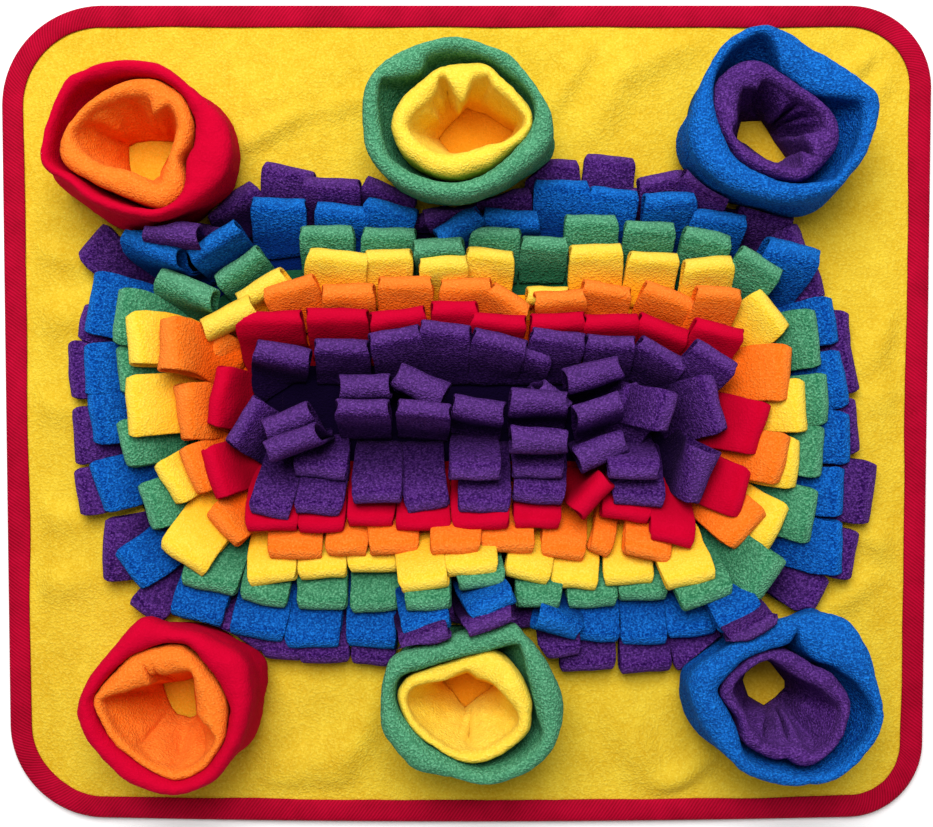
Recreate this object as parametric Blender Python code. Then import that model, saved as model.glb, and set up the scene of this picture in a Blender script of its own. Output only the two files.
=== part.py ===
"""A snuffle mat sewn from fleece: a bound panel, seven rings and two rows of loops, and six lined cups.

Metres, +Z up. The mat lies on z = 0, centred on the origin, with its far edge at +Y and its right edge
at +X. Every cloth is a closed sheet of its real thickness: a fringe is one folded strip, slit into loops
at its fold, and a cup's wall is one sheet folded over at its rim.
"""

import math

import bmesh
import bpy
from mathutils import Matrix, Vector

# Cloth
GAP = 0.0003
PANEL_THICK = 0.0025
TAPE_THICK = 0.0010
FLEECE = 0.0018
LAYER_GAP = 0.0005

# Panel and binding: the far edge is a little wider than the near one, and the near edge is bowed
HALF_WIDTH = 0.2500
HALF_DEPTH = 0.2216
FAR_FLARE = 0.012
NEAR_BOW = 0.016
TAPE_COVER = 0.0105
CORNER_STEPS = 4
LEAST_RADIUS = 0.004
SIDE_STEPS = {"wide": 14, "deep": 10}
CORNERS = (
    {"side_x": 1, "side_y": 1, "radius": 0.045, "next": "wide"},
    {"side_x": -1, "side_y": 1, "radius": 0.055, "next": "deep"},
    {"side_x": -1, "side_y": -1, "radius": 0.050, "next": "wide"},
    {"side_x": 1, "side_y": -1, "radius": 0.040, "next": "deep"},
)
# How far each line of the panel lies inside the mat's outline, from its bound edge to its flat middle
PANEL_INSETS = (0.0190, 0.0400, 0.0620)

# Low folds of the panel between the binding and the cups
FLAT_BY_CUP = 0.034
PANEL_FOLDS = (
    {"x": -0.096, "y": 0.175, "heading": 25, "reach": 0.050, "width": 0.020, "rise": 0.0030},
    {"x": 0.074, "y": 0.178, "heading": 70, "reach": 0.040, "width": 0.018, "rise": 0.0025},
    {"x": 0.222, "y": 0.196, "heading": 40, "reach": 0.030, "width": 0.015, "rise": 0.0020},
    {"x": 0.224, "y": 0.020, "heading": 5, "reach": 0.028, "width": 0.020, "rise": 0.0016},
    {"x": 0.224, "y": -0.085, "heading": -20, "reach": 0.028, "width": 0.018, "rise": 0.0024},
    {"x": 0.092, "y": -0.186, "heading": -60, "reach": 0.040, "width": 0.018, "rise": 0.0032},
    {"x": -0.072, "y": -0.184, "heading": 75, "reach": 0.040, "width": 0.018, "rise": 0.0026},
    {"x": -0.222, "y": -0.080, "heading": 10, "reach": 0.028, "width": 0.018, "rise": 0.0024},
    {"x": -0.222, "y": -0.020, "heading": -8, "reach": 0.028, "width": 0.018, "rise": 0.0018},
    {"x": -0.222, "y": 0.052, "heading": 6, "reach": 0.028, "width": 0.018, "rise": 0.0022},
)

# Loops
LOOP_WIDTH = 0.0268
LOOP_LENGTH = 0.0400
SLIT = 0.0004
BAND = 0.0030
ROOT_FACE_LEAN = 45
FOLD_DEPTH = 0.0050
UNEVEN_LEAN = 1.5
UNEVEN_LENGTH = 0.0012
UNEVEN_STEP = 2.4

# How low a ring's loops lie, in degrees above the mat, where neither a cup nor the ring outside props them up
LEAN = {"far_and_near": 28, "sides": 40, "each_ring": 2.5}
LOOP_CLEAR = 0.0018
PROP_STEPS_ACROSS = 5
PROP_STEPS_UP = 8

RINGS = (
    {"node": "purple_outer", "half_x": 0.1745, "half_y": 0.0985, "radius": 0.0800, "colour": "purple"},
    {"node": "blue", "half_x": 0.1630, "half_y": 0.0848, "radius": 0.0700, "colour": "blue"},
    {"node": "green", "half_x": 0.1515, "half_y": 0.0711, "radius": 0.0600, "colour": "green"},
    {"node": "yellow", "half_x": 0.1400, "half_y": 0.0574, "radius": 0.0500, "colour": "yellow"},
    {"node": "orange", "half_x": 0.1285, "half_y": 0.0437, "radius": 0.0400, "colour": "orange"},
    {"node": "red", "half_x": 0.1170, "half_y": 0.0300, "radius": 0.0275, "colour": "red"},
    {"node": "purple_inner", "half_x": 0.1055, "half_y": 0.0163, "radius": 0.0150, "colour": "purple"},
)
ROWS = (
    {"node": "centre_far", "y": 0.0066, "half_x": 0.0850, "side": 1, "lean": 66, "colour": "purple"},
    {"node": "centre_near", "y": -0.0066, "half_x": 0.0850, "side": -1, "lean": 66, "colour": "purple"},
)

# Cups: the wall's middle line at the rim, and the opening in the foot of its lining
CUP_HEIGHT = 0.0580
CUP_SQUARENESS = 2.6
CUP_STEPS = 14
CUPS = (
    {
        "name": "far_left", "outer": "red", "inner": "orange", "x": -0.1700, "y": 0.1370, "turn": -12,
        "half_x": 0.0385, "half_y": 0.0355, "foot_x": -0.1715, "foot_y": 0.1376,
        "foot_half": (0.0130, 0.0115),
    },
    {
        "name": "far_middle", "outer": "green", "inner": "yellow", "x": -0.0040, "y": 0.1535, "turn": 3,
        "half_x": 0.0430, "half_y": 0.0345, "foot_x": 0.0020, "foot_y": 0.1550,
        "foot_half": (0.0190, 0.0125),
    },
    {
        "name": "far_right", "outer": "blue", "inner": "purple", "x": 0.1625, "y": 0.1525, "turn": 8,
        "half_x": 0.0415, "half_y": 0.0375, "foot_x": 0.1630, "foot_y": 0.1480,
        "foot_half": (0.0145, 0.0125),
    },
    {
        "name": "near_left", "outer": "red", "inner": "orange", "x": -0.1550, "y": -0.1520, "turn": 14,
        "half_x": 0.0390, "half_y": 0.0360, "foot_x": -0.1570, "foot_y": -0.1530,
        "foot_half": (0.0115, 0.0130),
    },
    {
        "name": "near_middle", "outer": "green", "inner": "yellow", "x": 0.0020, "y": -0.1500, "turn": -4,
        "half_x": 0.0415, "half_y": 0.0340, "foot_x": 0.0010, "foot_y": -0.1505,
        "foot_half": (0.0150, 0.0115),
    },
    {
        "name": "near_right", "outer": "blue", "inner": "purple", "x": 0.1640, "y": -0.1505, "turn": -10,
        "half_x": 0.0400, "half_y": 0.0345, "foot_x": 0.1637, "foot_y": -0.1470,
        "foot_half": (0.0130, 0.0135),
    },
)
# Sections: metres out from the wall's middle line, and the height as a share of the cup's height.
# The wall goes up outside, over the rolled rim and down inside, then back up between its two layers.
WALL_SECTION = (
    {"out": 0.0024, "up": 0.00},
    {"out": 0.0042, "up": 0.88},
    {"out": 0.0000, "up": 1.00},
    {"out": -0.0042, "up": 0.88},
    {"out": -0.0024, "up": 0.00},
    {"out": -0.0005, "up": 0.00},
    {"out": -0.0022, "up": 0.86},
    {"out": 0.0022, "up": 0.86},
    {"out": 0.0005, "up": 0.00},
)
# The lining hangs over its own rolled rim inside the wall, and narrows to its opening: "narrow" is the
# share of the way from the rim's outline to the opening's.
LINING_SECTION = (
    {"out": -0.0052, "up": 0.66, "narrow": 0.0},
    {"out": -0.0060, "up": 0.90, "narrow": 0.0},
    {"out": -0.0115, "up": 0.90, "narrow": 0.0},
    {"out": -0.0125, "up": 0.48, "narrow": 0.22},
    {"out": 0.0000, "up": 0.00, "narrow": 1.0},
    {"out": 0.0022, "up": 0.00, "narrow": 1.0},
    {"out": -0.0100, "up": 0.46, "narrow": 0.20},
    {"out": -0.0098, "up": 0.85, "narrow": 0.0},
    {"out": -0.0076, "up": 0.85, "narrow": 0.0},
    {"out": -0.0070, "up": 0.66, "narrow": 0.0},
)
PLEATS = 5
PLEAT_DEPTH = 0.0016

COLOURS = {
    "yellow": (0.90, 0.62, 0.04),
    "crimson": (0.56, 0.00, 0.04),
    "purple": (0.11, 0.03, 0.30),
    "blue": (0.01, 0.13, 0.66),
    "green": (0.07, 0.36, 0.14),
    "orange": (1.00, 0.23, 0.02),
    "red": (0.62, 0.00, 0.03),
}
FLEECE_ROUGHNESS = 0.95


def clear_scene():
    """Removes every object of the file the script runs in."""
    for obj in list(bpy.data.objects):
        bpy.data.objects.remove(obj, do_unlink=True)


def fleece_material(colour):
    """A matt cloth finish, shared by the pieces of one colour."""
    name = "fleece_" + colour
    material = bpy.data.materials.get(name)
    if material is None:
        material = bpy.data.materials.new(name)
        material.use_nodes = True
        shader = material.node_tree.nodes["Principled BSDF"]
        shader.inputs["Base Color"].default_value = (*COLOURS[colour], 1.0)
        shader.inputs["Roughness"].default_value = FLEECE_ROUGHNESS
        shader.inputs["Metallic"].default_value = 0.0
    return material


def finish_piece(bm, name, colour):
    """Turns every face outwards and puts the mesh in the scene as the named piece."""
    bmesh.ops.recalc_face_normals(bm, faces=bm.faces)
    mesh = bpy.data.meshes.new(name)
    bm.to_mesh(mesh)
    bm.free()
    mesh.materials.append(fleece_material(colour))
    piece = bpy.data.objects.new(name, mesh)
    bpy.context.scene.collection.objects.link(piece)
    return piece


def loft(name, lines, colour, closed):
    """Joins closed lines of equal count into a tube, or into a sheet with both of its ends filled."""
    bm = bmesh.new()
    rings = [[bm.verts.new(point) for point in line] for line in lines]
    for near, far in zip(rings, rings[1:] + rings[:1] if closed else rings[1:]):
        for i in range(len(near)):
            j = (i + 1) % len(near)
            bm.faces.new((near[i], near[j], far[j], far[i]))
    if not closed:
        bm.faces.new(rings[0])
        bm.faces.new(rings[-1])
    return finish_piece(bm, name, colour)


def outline(inset):
    """The mat's outline, moved in by inset: round corners joined by evenly divided sides."""
    square = []
    for corner in CORNERS:
        radius = max(corner["radius"] - inset, LEAST_RADIUS)
        centre = Vector((
            corner["side_x"] * (HALF_WIDTH - inset - radius),
            corner["side_y"] * (HALF_DEPTH - inset - radius),
        ))
        start = math.atan2(corner["side_y"], corner["side_x"]) - math.pi / 4
        arc = [
            centre + radius * Vector((math.cos(angle), math.sin(angle)))
            for angle in (start + math.pi / 2 * i / CORNER_STEPS for i in range(CORNER_STEPS + 1))
        ]
        square.append((arc, SIDE_STEPS[corner["next"]]))
    points = []
    for (arc, steps), (following, _) in zip(square, square[1:] + square[:1]):
        points += arc
        points += [arc[-1].lerp(following[0], i / steps) for i in range(1, steps)]
    return [uneven_outline(point) for point in points]


def uneven_outline(point):
    """Flares the far edge and bows the near one."""
    x = point.x * (1 + FAR_FLARE * point.y / HALF_DEPTH)
    bow = NEAR_BOW * (point.x / HALF_WIDTH) ** 2 if point.y < 0 else 0.0
    return Vector((x, point.y * (1 - bow)))


def fold_height(point):
    """How far the panel's folds lift it off the floor at a point. Under and beside a cup it lies flat."""
    height = 0.0
    for cup in CUPS:
        if (point - Vector((cup["x"], cup["y"]))).length < max(cup["half_x"], cup["half_y"]) + FLAT_BY_CUP:
            return height
    for fold in PANEL_FOLDS:
        heading = math.radians(fold["heading"])
        offset = point - Vector((fold["x"], fold["y"]))
        along = offset.dot(Vector((math.cos(heading), math.sin(heading)))) / fold["reach"]
        across = offset.dot(Vector((-math.sin(heading), math.cos(heading)))) / fold["width"]
        if abs(along) < 1:
            height = max(height, fold["rise"] * (1 - along ** 2) * math.exp(-across ** 2))
    return height


def make_panel():
    """The panel: flat on the floor, with its edge lifted onto the lower half of the binding."""
    edge_lift = TAPE_THICK + GAP
    lines = [
        [(point, edge_lift) for point in outline(edge_lift)],
        [(point, edge_lift) for point in outline(TAPE_COVER + GAP)],
    ]
    for inset in PANEL_INSETS[:-1]:
        lines.append([(point, fold_height(point)) for point in outline(inset)])
    lines.append([(point, 0.0) for point in outline(PANEL_INSETS[-1])])
    under = [[(p.x, p.y, height) for p, height in line] for line in lines]
    over = [[(p.x, p.y, height + PANEL_THICK) for p, height in line] for line in lines]
    loft("base_panel", under[::-1] + over, "yellow", closed=False)


def make_binding():
    """The binding tape: folded round the panel's edge, with a clearance on all three sides."""
    low_flange = TAPE_THICK
    high_flange = low_flange + GAP + PANEL_THICK + GAP
    section = (
        {"inset": 0.0, "up": 0.0},
        {"inset": 0.0, "up": high_flange + TAPE_THICK},
        {"inset": TAPE_COVER, "up": high_flange + TAPE_THICK},
        {"inset": TAPE_COVER, "up": high_flange},
        {"inset": TAPE_THICK, "up": high_flange},
        {"inset": TAPE_THICK, "up": low_flange},
        {"inset": TAPE_COVER, "up": low_flange},
        {"inset": TAPE_COVER, "up": 0.0},
    )
    lines = [[(p.x, p.y, row["up"]) for p in outline(row["inset"])] for row in section]
    loft("binding_tape", lines, "crimson", closed=True)


def ring_stations(half_x, half_y, radius):
    """Points on a rounded rectangle, one where each loop starts, evenly spaced along it."""
    straight_x = 2 * (half_x - radius)
    straight_y = 2 * (half_y - radius)
    quarter = math.pi / 2 * radius
    length = 2 * (straight_x + straight_y) + 4 * quarter
    count = round(length / LOOP_WIDTH)
    stations = []
    for i in range(count):
        left = length * i / count
        point = Vector((half_x, -straight_y / 2))
        heading = math.pi / 2
        for side in (straight_y, straight_x, straight_y, straight_x):
            along = Vector((math.cos(heading), math.sin(heading)))
            if left <= side:
                point += along * left
                break
            point += along * side
            left -= side
            turned = min(left, quarter) / radius
            middle = point + radius * Vector((-along.y, along.x))
            heading += turned
            point = middle + radius * Vector((math.sin(heading), -math.cos(heading)))
            if left <= quarter:
                break
            left -= quarter
        stations.append({"point": point, "out": Vector((math.sin(heading), -math.cos(heading)))})
    return stations


def footprint(cup, out, steps, narrow=0.0):
    """A cup's outline, moved out from its wall's middle line, or part of the way to its lining's opening."""
    points = []
    foot_x, foot_y = cup["foot_half"]
    half_x = cup["half_x"] + (foot_x - cup["half_x"]) * narrow + out
    half_y = cup["half_y"] + (foot_y - cup["half_y"]) * narrow + out
    middle = Vector((cup["x"], cup["y"])).lerp(Vector((cup["foot_x"], cup["foot_y"])), narrow)
    turn = math.radians(cup["turn"])
    for i in range(steps):
        angle = 2 * math.pi * i / steps
        across, deep = math.cos(angle), math.sin(angle)
        share = (abs(across) ** CUP_SQUARENESS + abs(deep) ** CUP_SQUARENESS) ** (-1 / CUP_SQUARENESS)
        pleat = PLEAT_DEPTH * narrow * math.cos(PLEATS * angle)
        point = Vector(((half_x + pleat) * share * across, (half_y + pleat) * share * deep))
        point.rotate(Matrix.Rotation(turn, 2))
        points.append(middle + point)
    return points


def cup_obstacles():
    """Points up the outside of every cup's wall."""
    return [
        Vector((point.x, point.y, PANEL_THICK + GAP + CUP_HEIGHT * step / PROP_STEPS_UP))
        for cup in CUPS
        for point in footprint(cup, max(row["out"] for row in WALL_SECTION), 4 * CUP_STEPS)
        for step in range(PROP_STEPS_UP + 1)
    ]


def loop_obstacles(loop):
    """Points over the upper face of a loop that is already in its place."""
    along = Vector((*(loop["out"] * math.cos(loop["lean"])), math.sin(loop["lean"])))
    upward = Vector((*(-loop["out"] * math.sin(loop["lean"])), math.cos(loop["lean"])))
    points = []
    for i in range(PROP_STEPS_ACROSS):
        foot = loop["start"].lerp(loop["end"], i / (PROP_STEPS_ACROSS - 1))
        root = Vector((*foot, PANEL_THICK + GAP)) + upward * FOLD_DEPTH
        for step in range(1, PROP_STEPS_UP + 1):
            points.append(root + along * loop["length"] * step / PROP_STEPS_UP)
    return points


def least_lean(loop, obstacles):
    """The lean, in radians, at which a loop lies on whatever stands within its width."""
    across = (loop["end"] - loop["start"]).normalized()
    width = (loop["end"] - loop["start"]).length
    lean = loop["lean"]
    for point in obstacles:
        offset = point.xy - loop["start"]
        ahead = offset.dot(loop["out"])
        reach = math.hypot(ahead, point.z - PANEL_THICK - GAP)
        in_width = -LOOP_CLEAR < offset.dot(across) < width + LOOP_CLEAR
        if in_width and ahead > 0 and reach < loop["length"] + LOOP_CLEAR:
            lean = max(lean, math.acos(ahead / reach) + math.asin(LOOP_CLEAR / reach))
    return lean


def ring_lean(ring_index, out):
    """The angle in degrees at which a loop of a ring rises from the mat where nothing props it up."""
    open_lean = LEAN["far_and_near"] + (LEAN["sides"] - LEAN["far_and_near"]) * out.x ** 2
    return open_lean + LEAN["each_ring"] * ring_index


def band_points(bm, point, out):
    """The strip's sewn edge at one station: its corners, and where its two layers part."""
    face = math.radians(ROOT_FACE_LEAN)
    floor = PANEL_THICK + GAP

    def at(layers):
        inward = layers * math.sin(face)
        return bm.verts.new((*(point - out * inward), floor + layers * math.cos(face)))

    whole = 2 * FLEECE + LAYER_GAP
    back = point - out * (BAND + whole * math.sin(face))
    return {
        "back_low": bm.verts.new((*back, floor)),
        "low": at(0.0),
        "low_inner": at(FLEECE),
        "high_inner": at(FLEECE + LAYER_GAP),
        "high": at(whole),
        "back_high": bm.verts.new((*back, floor + whole * math.cos(face))),
    }


def tip_points(bm, corner, out, lean, length):
    """The fold at one side of a loop's end: outside and inside, below and above."""
    along = Vector((*(out * math.cos(lean)), math.sin(lean)))
    upward = Vector((*(-out * math.sin(lean)), math.cos(lean)))
    root = Vector((*corner, PANEL_THICK + GAP))
    return {
        "low": bm.verts.new(root + along * length),
        "low_inner": bm.verts.new(root + along * (length - FLEECE) + upward * FLEECE),
        "high_inner": bm.verts.new(root + along * (length - FLEECE) + upward * (FOLD_DEPTH - FLEECE)),
        "high": bm.verts.new(root + along * length + upward * FOLD_DEPTH),
    }


BAND_FACES = (
    ("back_low", "low"),
    ("low_inner", "high_inner"),
    ("high", "back_high"),
    ("back_high", "back_low"),
)


def add_loop(bm, near, far, left, right):
    """One loop between two stations: the band behind it, its layers, its fold and its two open sides."""
    for first, second in BAND_FACES:
        bm.faces.new((near[first], near[second], far[second], far[first]))
    for edge in ("low", "low_inner", "high_inner", "high"):
        bm.faces.new((near[edge], far[edge], right[edge], left[edge]))
    for first, second in (("low", "high"), ("low_inner", "high_inner")):
        bm.faces.new((left[first], right[first], right[second], left[second]))
    for root, tip in ((near, left), (far, right)):
        bm.faces.new((root["low"], root["low_inner"], tip["low_inner"], tip["low"]))
        bm.faces.new((tip["low_inner"], tip["high_inner"], tip["high"], tip["low"]))
        bm.faces.new((root["high_inner"], root["high"], tip["high"], tip["high_inner"]))


def make_fringe(row, stations, lean_of, is_ring, obstacles):
    """A folded strip sewn down along its stations and slit into a loop between each two.

    Returns its loops, each with its two feet, its direction, its lean and its length.
    """
    bm = bmesh.new()
    bands = [band_points(bm, station["point"], station["out"]) for station in stations]
    loops = []
    for i in range(len(stations) if is_ring else len(stations) - 1):
        j = (i + 1) % len(stations)
        start, end = stations[i]["point"], stations[j]["point"]
        across = (end - start).normalized()
        out = Vector((across.y, -across.x)) * (1 if across.cross(stations[i]["out"]) < 0 else -1)
        loop = {
            "start": start,
            "end": end,
            "out": out,
            "lean": math.radians(lean_of(out) + UNEVEN_LEAN * math.sin(UNEVEN_STEP * i)),
            "length": LOOP_LENGTH + UNEVEN_LENGTH * math.cos(UNEVEN_STEP * i),
        }
        loop["lean"] = least_lean(loop, obstacles)
        left = tip_points(bm, start + across * SLIT, out, loop["lean"], loop["length"])
        right = tip_points(bm, end - across * SLIT, out, loop["lean"], loop["length"])
        add_loop(bm, bands[i], bands[j], left, right)
        loops.append(loop)
    if not is_ring:
        for band in (bands[0], bands[-1]):
            bm.faces.new(band.values())
    finish_piece(bm, "fringe_" + row["node"], row["colour"])
    return loops


def make_rings():
    """The seven rings, from the outermost in: each lies on the one outside it."""
    cups = cup_obstacles()
    outside = []
    for index, ring in enumerate(RINGS):
        stations = ring_stations(ring["half_x"], ring["half_y"], ring["radius"])
        obstacles = cups + [point for loop in outside for point in loop_obstacles(loop)]
        outside = make_fringe(
            ring, stations, lambda out, index=index: ring_lean(index, out), is_ring=True, obstacles=obstacles
        )


def make_rows():
    """The two straight rows in the middle."""
    for row in ROWS:
        count = round(2 * row["half_x"] / LOOP_WIDTH)
        out = Vector((0.0, row["side"]))
        stations = [
            {"point": Vector((row["half_x"] * (2 * i / count - 1), row["y"])), "out": out}
            for i in range(count + 1)
        ]
        make_fringe(row, stations, lambda _out, row=row: row["lean"], is_ring=False, obstacles=[])


def make_cups():
    """Each cup's folded wall and the lining inside it."""
    floor = PANEL_THICK + GAP
    for cup in CUPS:
        wall = [
            [(p.x, p.y, floor + CUP_HEIGHT * row["up"]) for p in footprint(cup, row["out"], CUP_STEPS)]
            for row in WALL_SECTION
        ]
        loft("cup_wall_" + cup["name"], wall, cup["outer"], closed=True)
        lining = [
            [
                (p.x, p.y, floor + CUP_HEIGHT * row["up"])
                for p in footprint(cup, row["out"], CUP_STEPS, row["narrow"])
            ]
            for row in LINING_SECTION
        ]
        loft("cup_lining_" + cup["name"], lining, cup["inner"], closed=True)


def main():
    clear_scene()
    make_panel()
    make_binding()
    make_rings()
    make_rows()
    make_cups()


main()
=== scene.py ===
"""A snuffle mat: a bound fleece panel, rings of folded fleece loops and six lined cups.

Every sheet of cloth is a mesh grid bent to its folds: a loop is a strip doubled back on itself, a cup's
wall is a sheet rolled over at its rim, and a lining is a funnel that falls from its lip to its foot.
Places on the mat are given in pixels of the view from above, and turned into metres at their height.
"""

import logging
import math
from dataclasses import dataclass, field
from enum import Enum
from typing import Any, Sequence

import bmesh
import bpy
import numpy as np
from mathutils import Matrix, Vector, noise


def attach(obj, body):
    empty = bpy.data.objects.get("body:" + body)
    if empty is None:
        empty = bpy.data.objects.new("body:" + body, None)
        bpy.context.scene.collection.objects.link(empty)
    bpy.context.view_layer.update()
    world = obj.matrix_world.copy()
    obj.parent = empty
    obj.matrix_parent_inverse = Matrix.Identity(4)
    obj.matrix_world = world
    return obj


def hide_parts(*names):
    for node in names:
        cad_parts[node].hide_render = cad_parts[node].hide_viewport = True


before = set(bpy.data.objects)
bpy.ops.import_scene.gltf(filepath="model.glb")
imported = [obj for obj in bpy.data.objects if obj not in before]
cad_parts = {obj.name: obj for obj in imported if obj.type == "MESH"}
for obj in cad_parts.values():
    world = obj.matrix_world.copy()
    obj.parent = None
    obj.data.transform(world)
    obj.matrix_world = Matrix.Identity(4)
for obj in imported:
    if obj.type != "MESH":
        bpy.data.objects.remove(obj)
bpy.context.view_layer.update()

LOG = logging.getLogger("snuffle_mat")
BODY = "root"

# Thickness of each cloth, and heights on the mat, in metres
FLEECE = 0.0018
PANEL_THICK = 0.0025
TAPE_THICK = 0.0010
PANEL_TOP = 0.0028
ROOT_HEIGHT = 0.0052

# Outline of the mat, in metres, and how far it is out of square, as shares of its size
HALF_WIDTH = 0.2500
HALF_DEPTH = 0.2216
FAR_FLARE = 0.012
NEAR_BOW = 0.016
CORNER_RADII = {(1, 1): 0.045, (-1, 1): 0.055, (-1, -1): 0.050, (1, -1): 0.040}


@dataclass(frozen=True)
class View:
    """The view from above that the places are measured in.

    Attributes:
        wide: Width of the view in pixels.
        tall: Height of the view in pixels.
        eye: Height of the eye above the floor, in metres.
        scale: Pixels per metre on the floor.
    """

    wide: float = 933.0
    tall: float = 827.0
    eye: float = 0.750
    scale: float = 1830.0

    def place(self, across: float, down: float, height: float) -> np.ndarray:
        """Returns the point, in metres, at a pixel from the left and top edges and at a height."""
        scale = self.scale * self.eye / (self.eye - height)
        return np.array([(across - self.wide / 2) / scale, (self.tall / 2 - down) / scale, height])

    def length(self, pixels: float, height: float) -> float:
        """Returns a length in metres of so many pixels at a height."""
        return pixels * (self.eye - height) / (self.scale * self.eye)


VIEW = View()
UP = np.array([0.0, 0.0, 1.0])

# Millimetres in a metre
MM = 1000


def compass(heading: float) -> np.ndarray:
    """Returns the level unit direction of a heading in degrees, clockwise from the mat's far side."""
    turn = math.radians(heading)
    return np.array([math.sin(turn), math.cos(turn), 0.0])


def unit(vectors: np.ndarray) -> np.ndarray:
    """Returns the vectors of an array's last axis at length 1."""
    return vectors / np.maximum(np.linalg.norm(vectors, axis=-1, keepdims=True), 1e-9)


def rough(points: np.ndarray, pitch: float, seed: float) -> np.ndarray:
    """Smooth noise at points.

    Args:
        points: Points in metres, on the last axis.
        pitch: Size of one swell, in metres.
        seed: A different pattern for each value.

    Returns:
        Values from about -1 to 1, one for each point.
    """
    flat = points.reshape(-1, 3) / pitch + seed
    values = [noise.noise(Vector(point)) for point in flat]
    return np.array(values).reshape(points.shape[:-1])


def smooth_step(values: np.ndarray | float, start: float, end: float) -> np.ndarray:
    """Returns values eased from 0 at start to 1 at end."""
    share = np.clip((np.asarray(values) - start) / (end - start), 0.0, 1.0)
    return share * share * (3 - 2 * share)


def spline(knots: np.ndarray, shares: np.ndarray) -> np.ndarray:
    """A smooth closed curve through knots.

    Args:
        knots: Level knots, one in a row.
        shares: Places along the curve, from 0 at its first knot to 1 where it is back there.

    Returns:
        The curve's points at those places.
    """
    at = shares * len(knots)
    low = np.floor(at).astype(int)
    part = (at - low)[:, None]
    before, start, end, after = (knots[(low + step) % len(knots)] for step in (-1, 0, 1, 2))
    return 0.5 * (
        2 * start + (end - before) * part
        + (2 * before - 5 * start + 4 * end - after) * part ** 2
        + (3 * start - before - 3 * end + after) * part ** 3
    )


def square_ring(count: int) -> np.ndarray:
    """Places round the edge of a square from -1 to 1, at even angles.

    Args:
        count: How many.

    Returns:
        The places.
    """
    turn = np.linspace(0, 2 * math.pi, count, endpoint=False)
    ring = np.stack([np.cos(turn), np.sin(turn)], axis=-1)
    return ring / np.abs(ring).max(axis=-1, keepdims=True)


def sampled(values: np.ndarray, steps: np.ndarray, at: np.ndarray) -> np.ndarray:
    """Returns vectors known at steps, at other places between those steps."""
    return np.stack([np.interp(at, steps, values[:, k]) for k in range(values.shape[1])], axis=-1)


class Sheet:
    """A mesh built from grids that are bent into place."""

    def __init__(self) -> None:
        """Starts an empty mesh with marks for painted light and for painted shade."""
        self.bm = bmesh.new()
        self.painted_light = self.bm.verts.layers.float.new("painted_light")
        self.painted_shade = self.bm.verts.layers.float.new("painted_shade")
        self.lay = self.bm.loops.layers.uv.new("lay")

    def bend(self, points: np.ndarray, painted_light: np.ndarray | None = None, painted_shade: np.ndarray | None = None,
             lay: np.ndarray | None = None) -> None:
        """Adds one grid and moves its vertices to points.

        Args:
            points: Points in rows and columns, in metres.
            painted_light: How much painted light and painted highlight its colour takes at each point,
                from 0 to 1.
            painted_shade: How much painted shade its colour takes at each point, from 0 to 1.
            lay: Where each point lies on the flat cloth, in metres, for its weave.
        """
        rows, columns = points.shape[0] - 1, points.shape[1] - 1
        verts = bmesh.ops.create_grid(self.bm, x_segments=columns, y_segments=rows, size=1.0)["verts"]
        for vert in verts:
            i = round((vert.co.y + 1) / 2 * rows)
            j = round((vert.co.x + 1) / 2 * columns)
            vert.co = points[i, j]
            if painted_light is not None:
                vert[self.painted_light] = float(painted_light[i, j])
            if painted_shade is not None:
                vert[self.painted_shade] = float(painted_shade[i, j])
            if lay is not None:
                for corner in vert.link_loops:
                    corner[self.lay].uv = lay[i, j]

    def close(self, fill: bool) -> None:
        """Joins seams where grids meet.

        Args:
            fill: Whether to fill what stays open.
        """
        bmesh.ops.remove_doubles(self.bm, verts=self.bm.verts, dist=1e-6)
        if fill:
            rims = [edge for edge in self.bm.edges if edge.is_boundary]
            bmesh.ops.holes_fill(self.bm, edges=rims, sides=0)

    def finish(self, name: str, material: bpy.types.Material, outward: bool = True) -> bpy.types.Object:
        """Puts the mesh in the scene.

        Args:
            name: The piece's name.
            material: Its finish.
            outward: Whether to turn the faces outwards, which a closed mesh needs.

        Returns:
            The piece.
        """
        if outward:
            bmesh.ops.recalc_face_normals(self.bm, faces=self.bm.faces)
        for face in self.bm.faces:
            face.smooth = True
        mesh = bpy.data.meshes.new(name)
        self.bm.to_mesh(mesh)
        self.bm.free()
        mesh.materials.append(material)
        piece = bpy.data.objects.new(name, mesh)
        bpy.context.scene.collection.objects.link(piece)
        return piece


def thicken(piece: bpy.types.Object, thickness: float) -> None:
    """Gives an open sheet its thickness, half on each side.

    Args:
        piece: The sheet.
        thickness: Its thickness in metres.
    """
    solid = piece.modifiers.new("Thickness", "SOLIDIFY")
    solid.thickness = thickness
    solid.offset = 0.0
    solid.use_even_offset = False


@dataclass(frozen=True)
class Value:
    """A number in a shader, which can be added to, subtracted and multiplied.

    Attributes:
        finish: The finish that it belongs to.
        socket: The socket that gives it.
    """

    finish: "Finish"
    socket: bpy.types.NodeSocket

    def sum(self, operation: str, left: Any, right: Any) -> "Value":
        """Returns what a Math node makes of two numbers or Values."""
        made = self.finish.node("ShaderNodeMath", {"operation": operation}, {0: left, 1: right})
        return Value(self.finish, made.outputs[0])

    def __add__(self, other: Any) -> "Value":
        """Returns this value plus another."""
        return self.sum("ADD", self, other)

    def __radd__(self, other: Any) -> "Value":
        """Returns another value plus this one."""
        return self.sum("ADD", other, self)

    def __sub__(self, other: Any) -> "Value":
        """Returns this value less another."""
        return self.sum("SUBTRACT", self, other)

    def __rsub__(self, other: Any) -> "Value":
        """Returns another value less this one."""
        return self.sum("SUBTRACT", other, self)

    def __mul__(self, other: Any) -> "Value":
        """Returns this value times another."""
        return self.sum("MULTIPLY", self, other)

    def __rmul__(self, other: Any) -> "Value":
        """Returns another value times this one."""
        return self.sum("MULTIPLY", other, self)


Colour = tuple[float, float, float]


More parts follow.
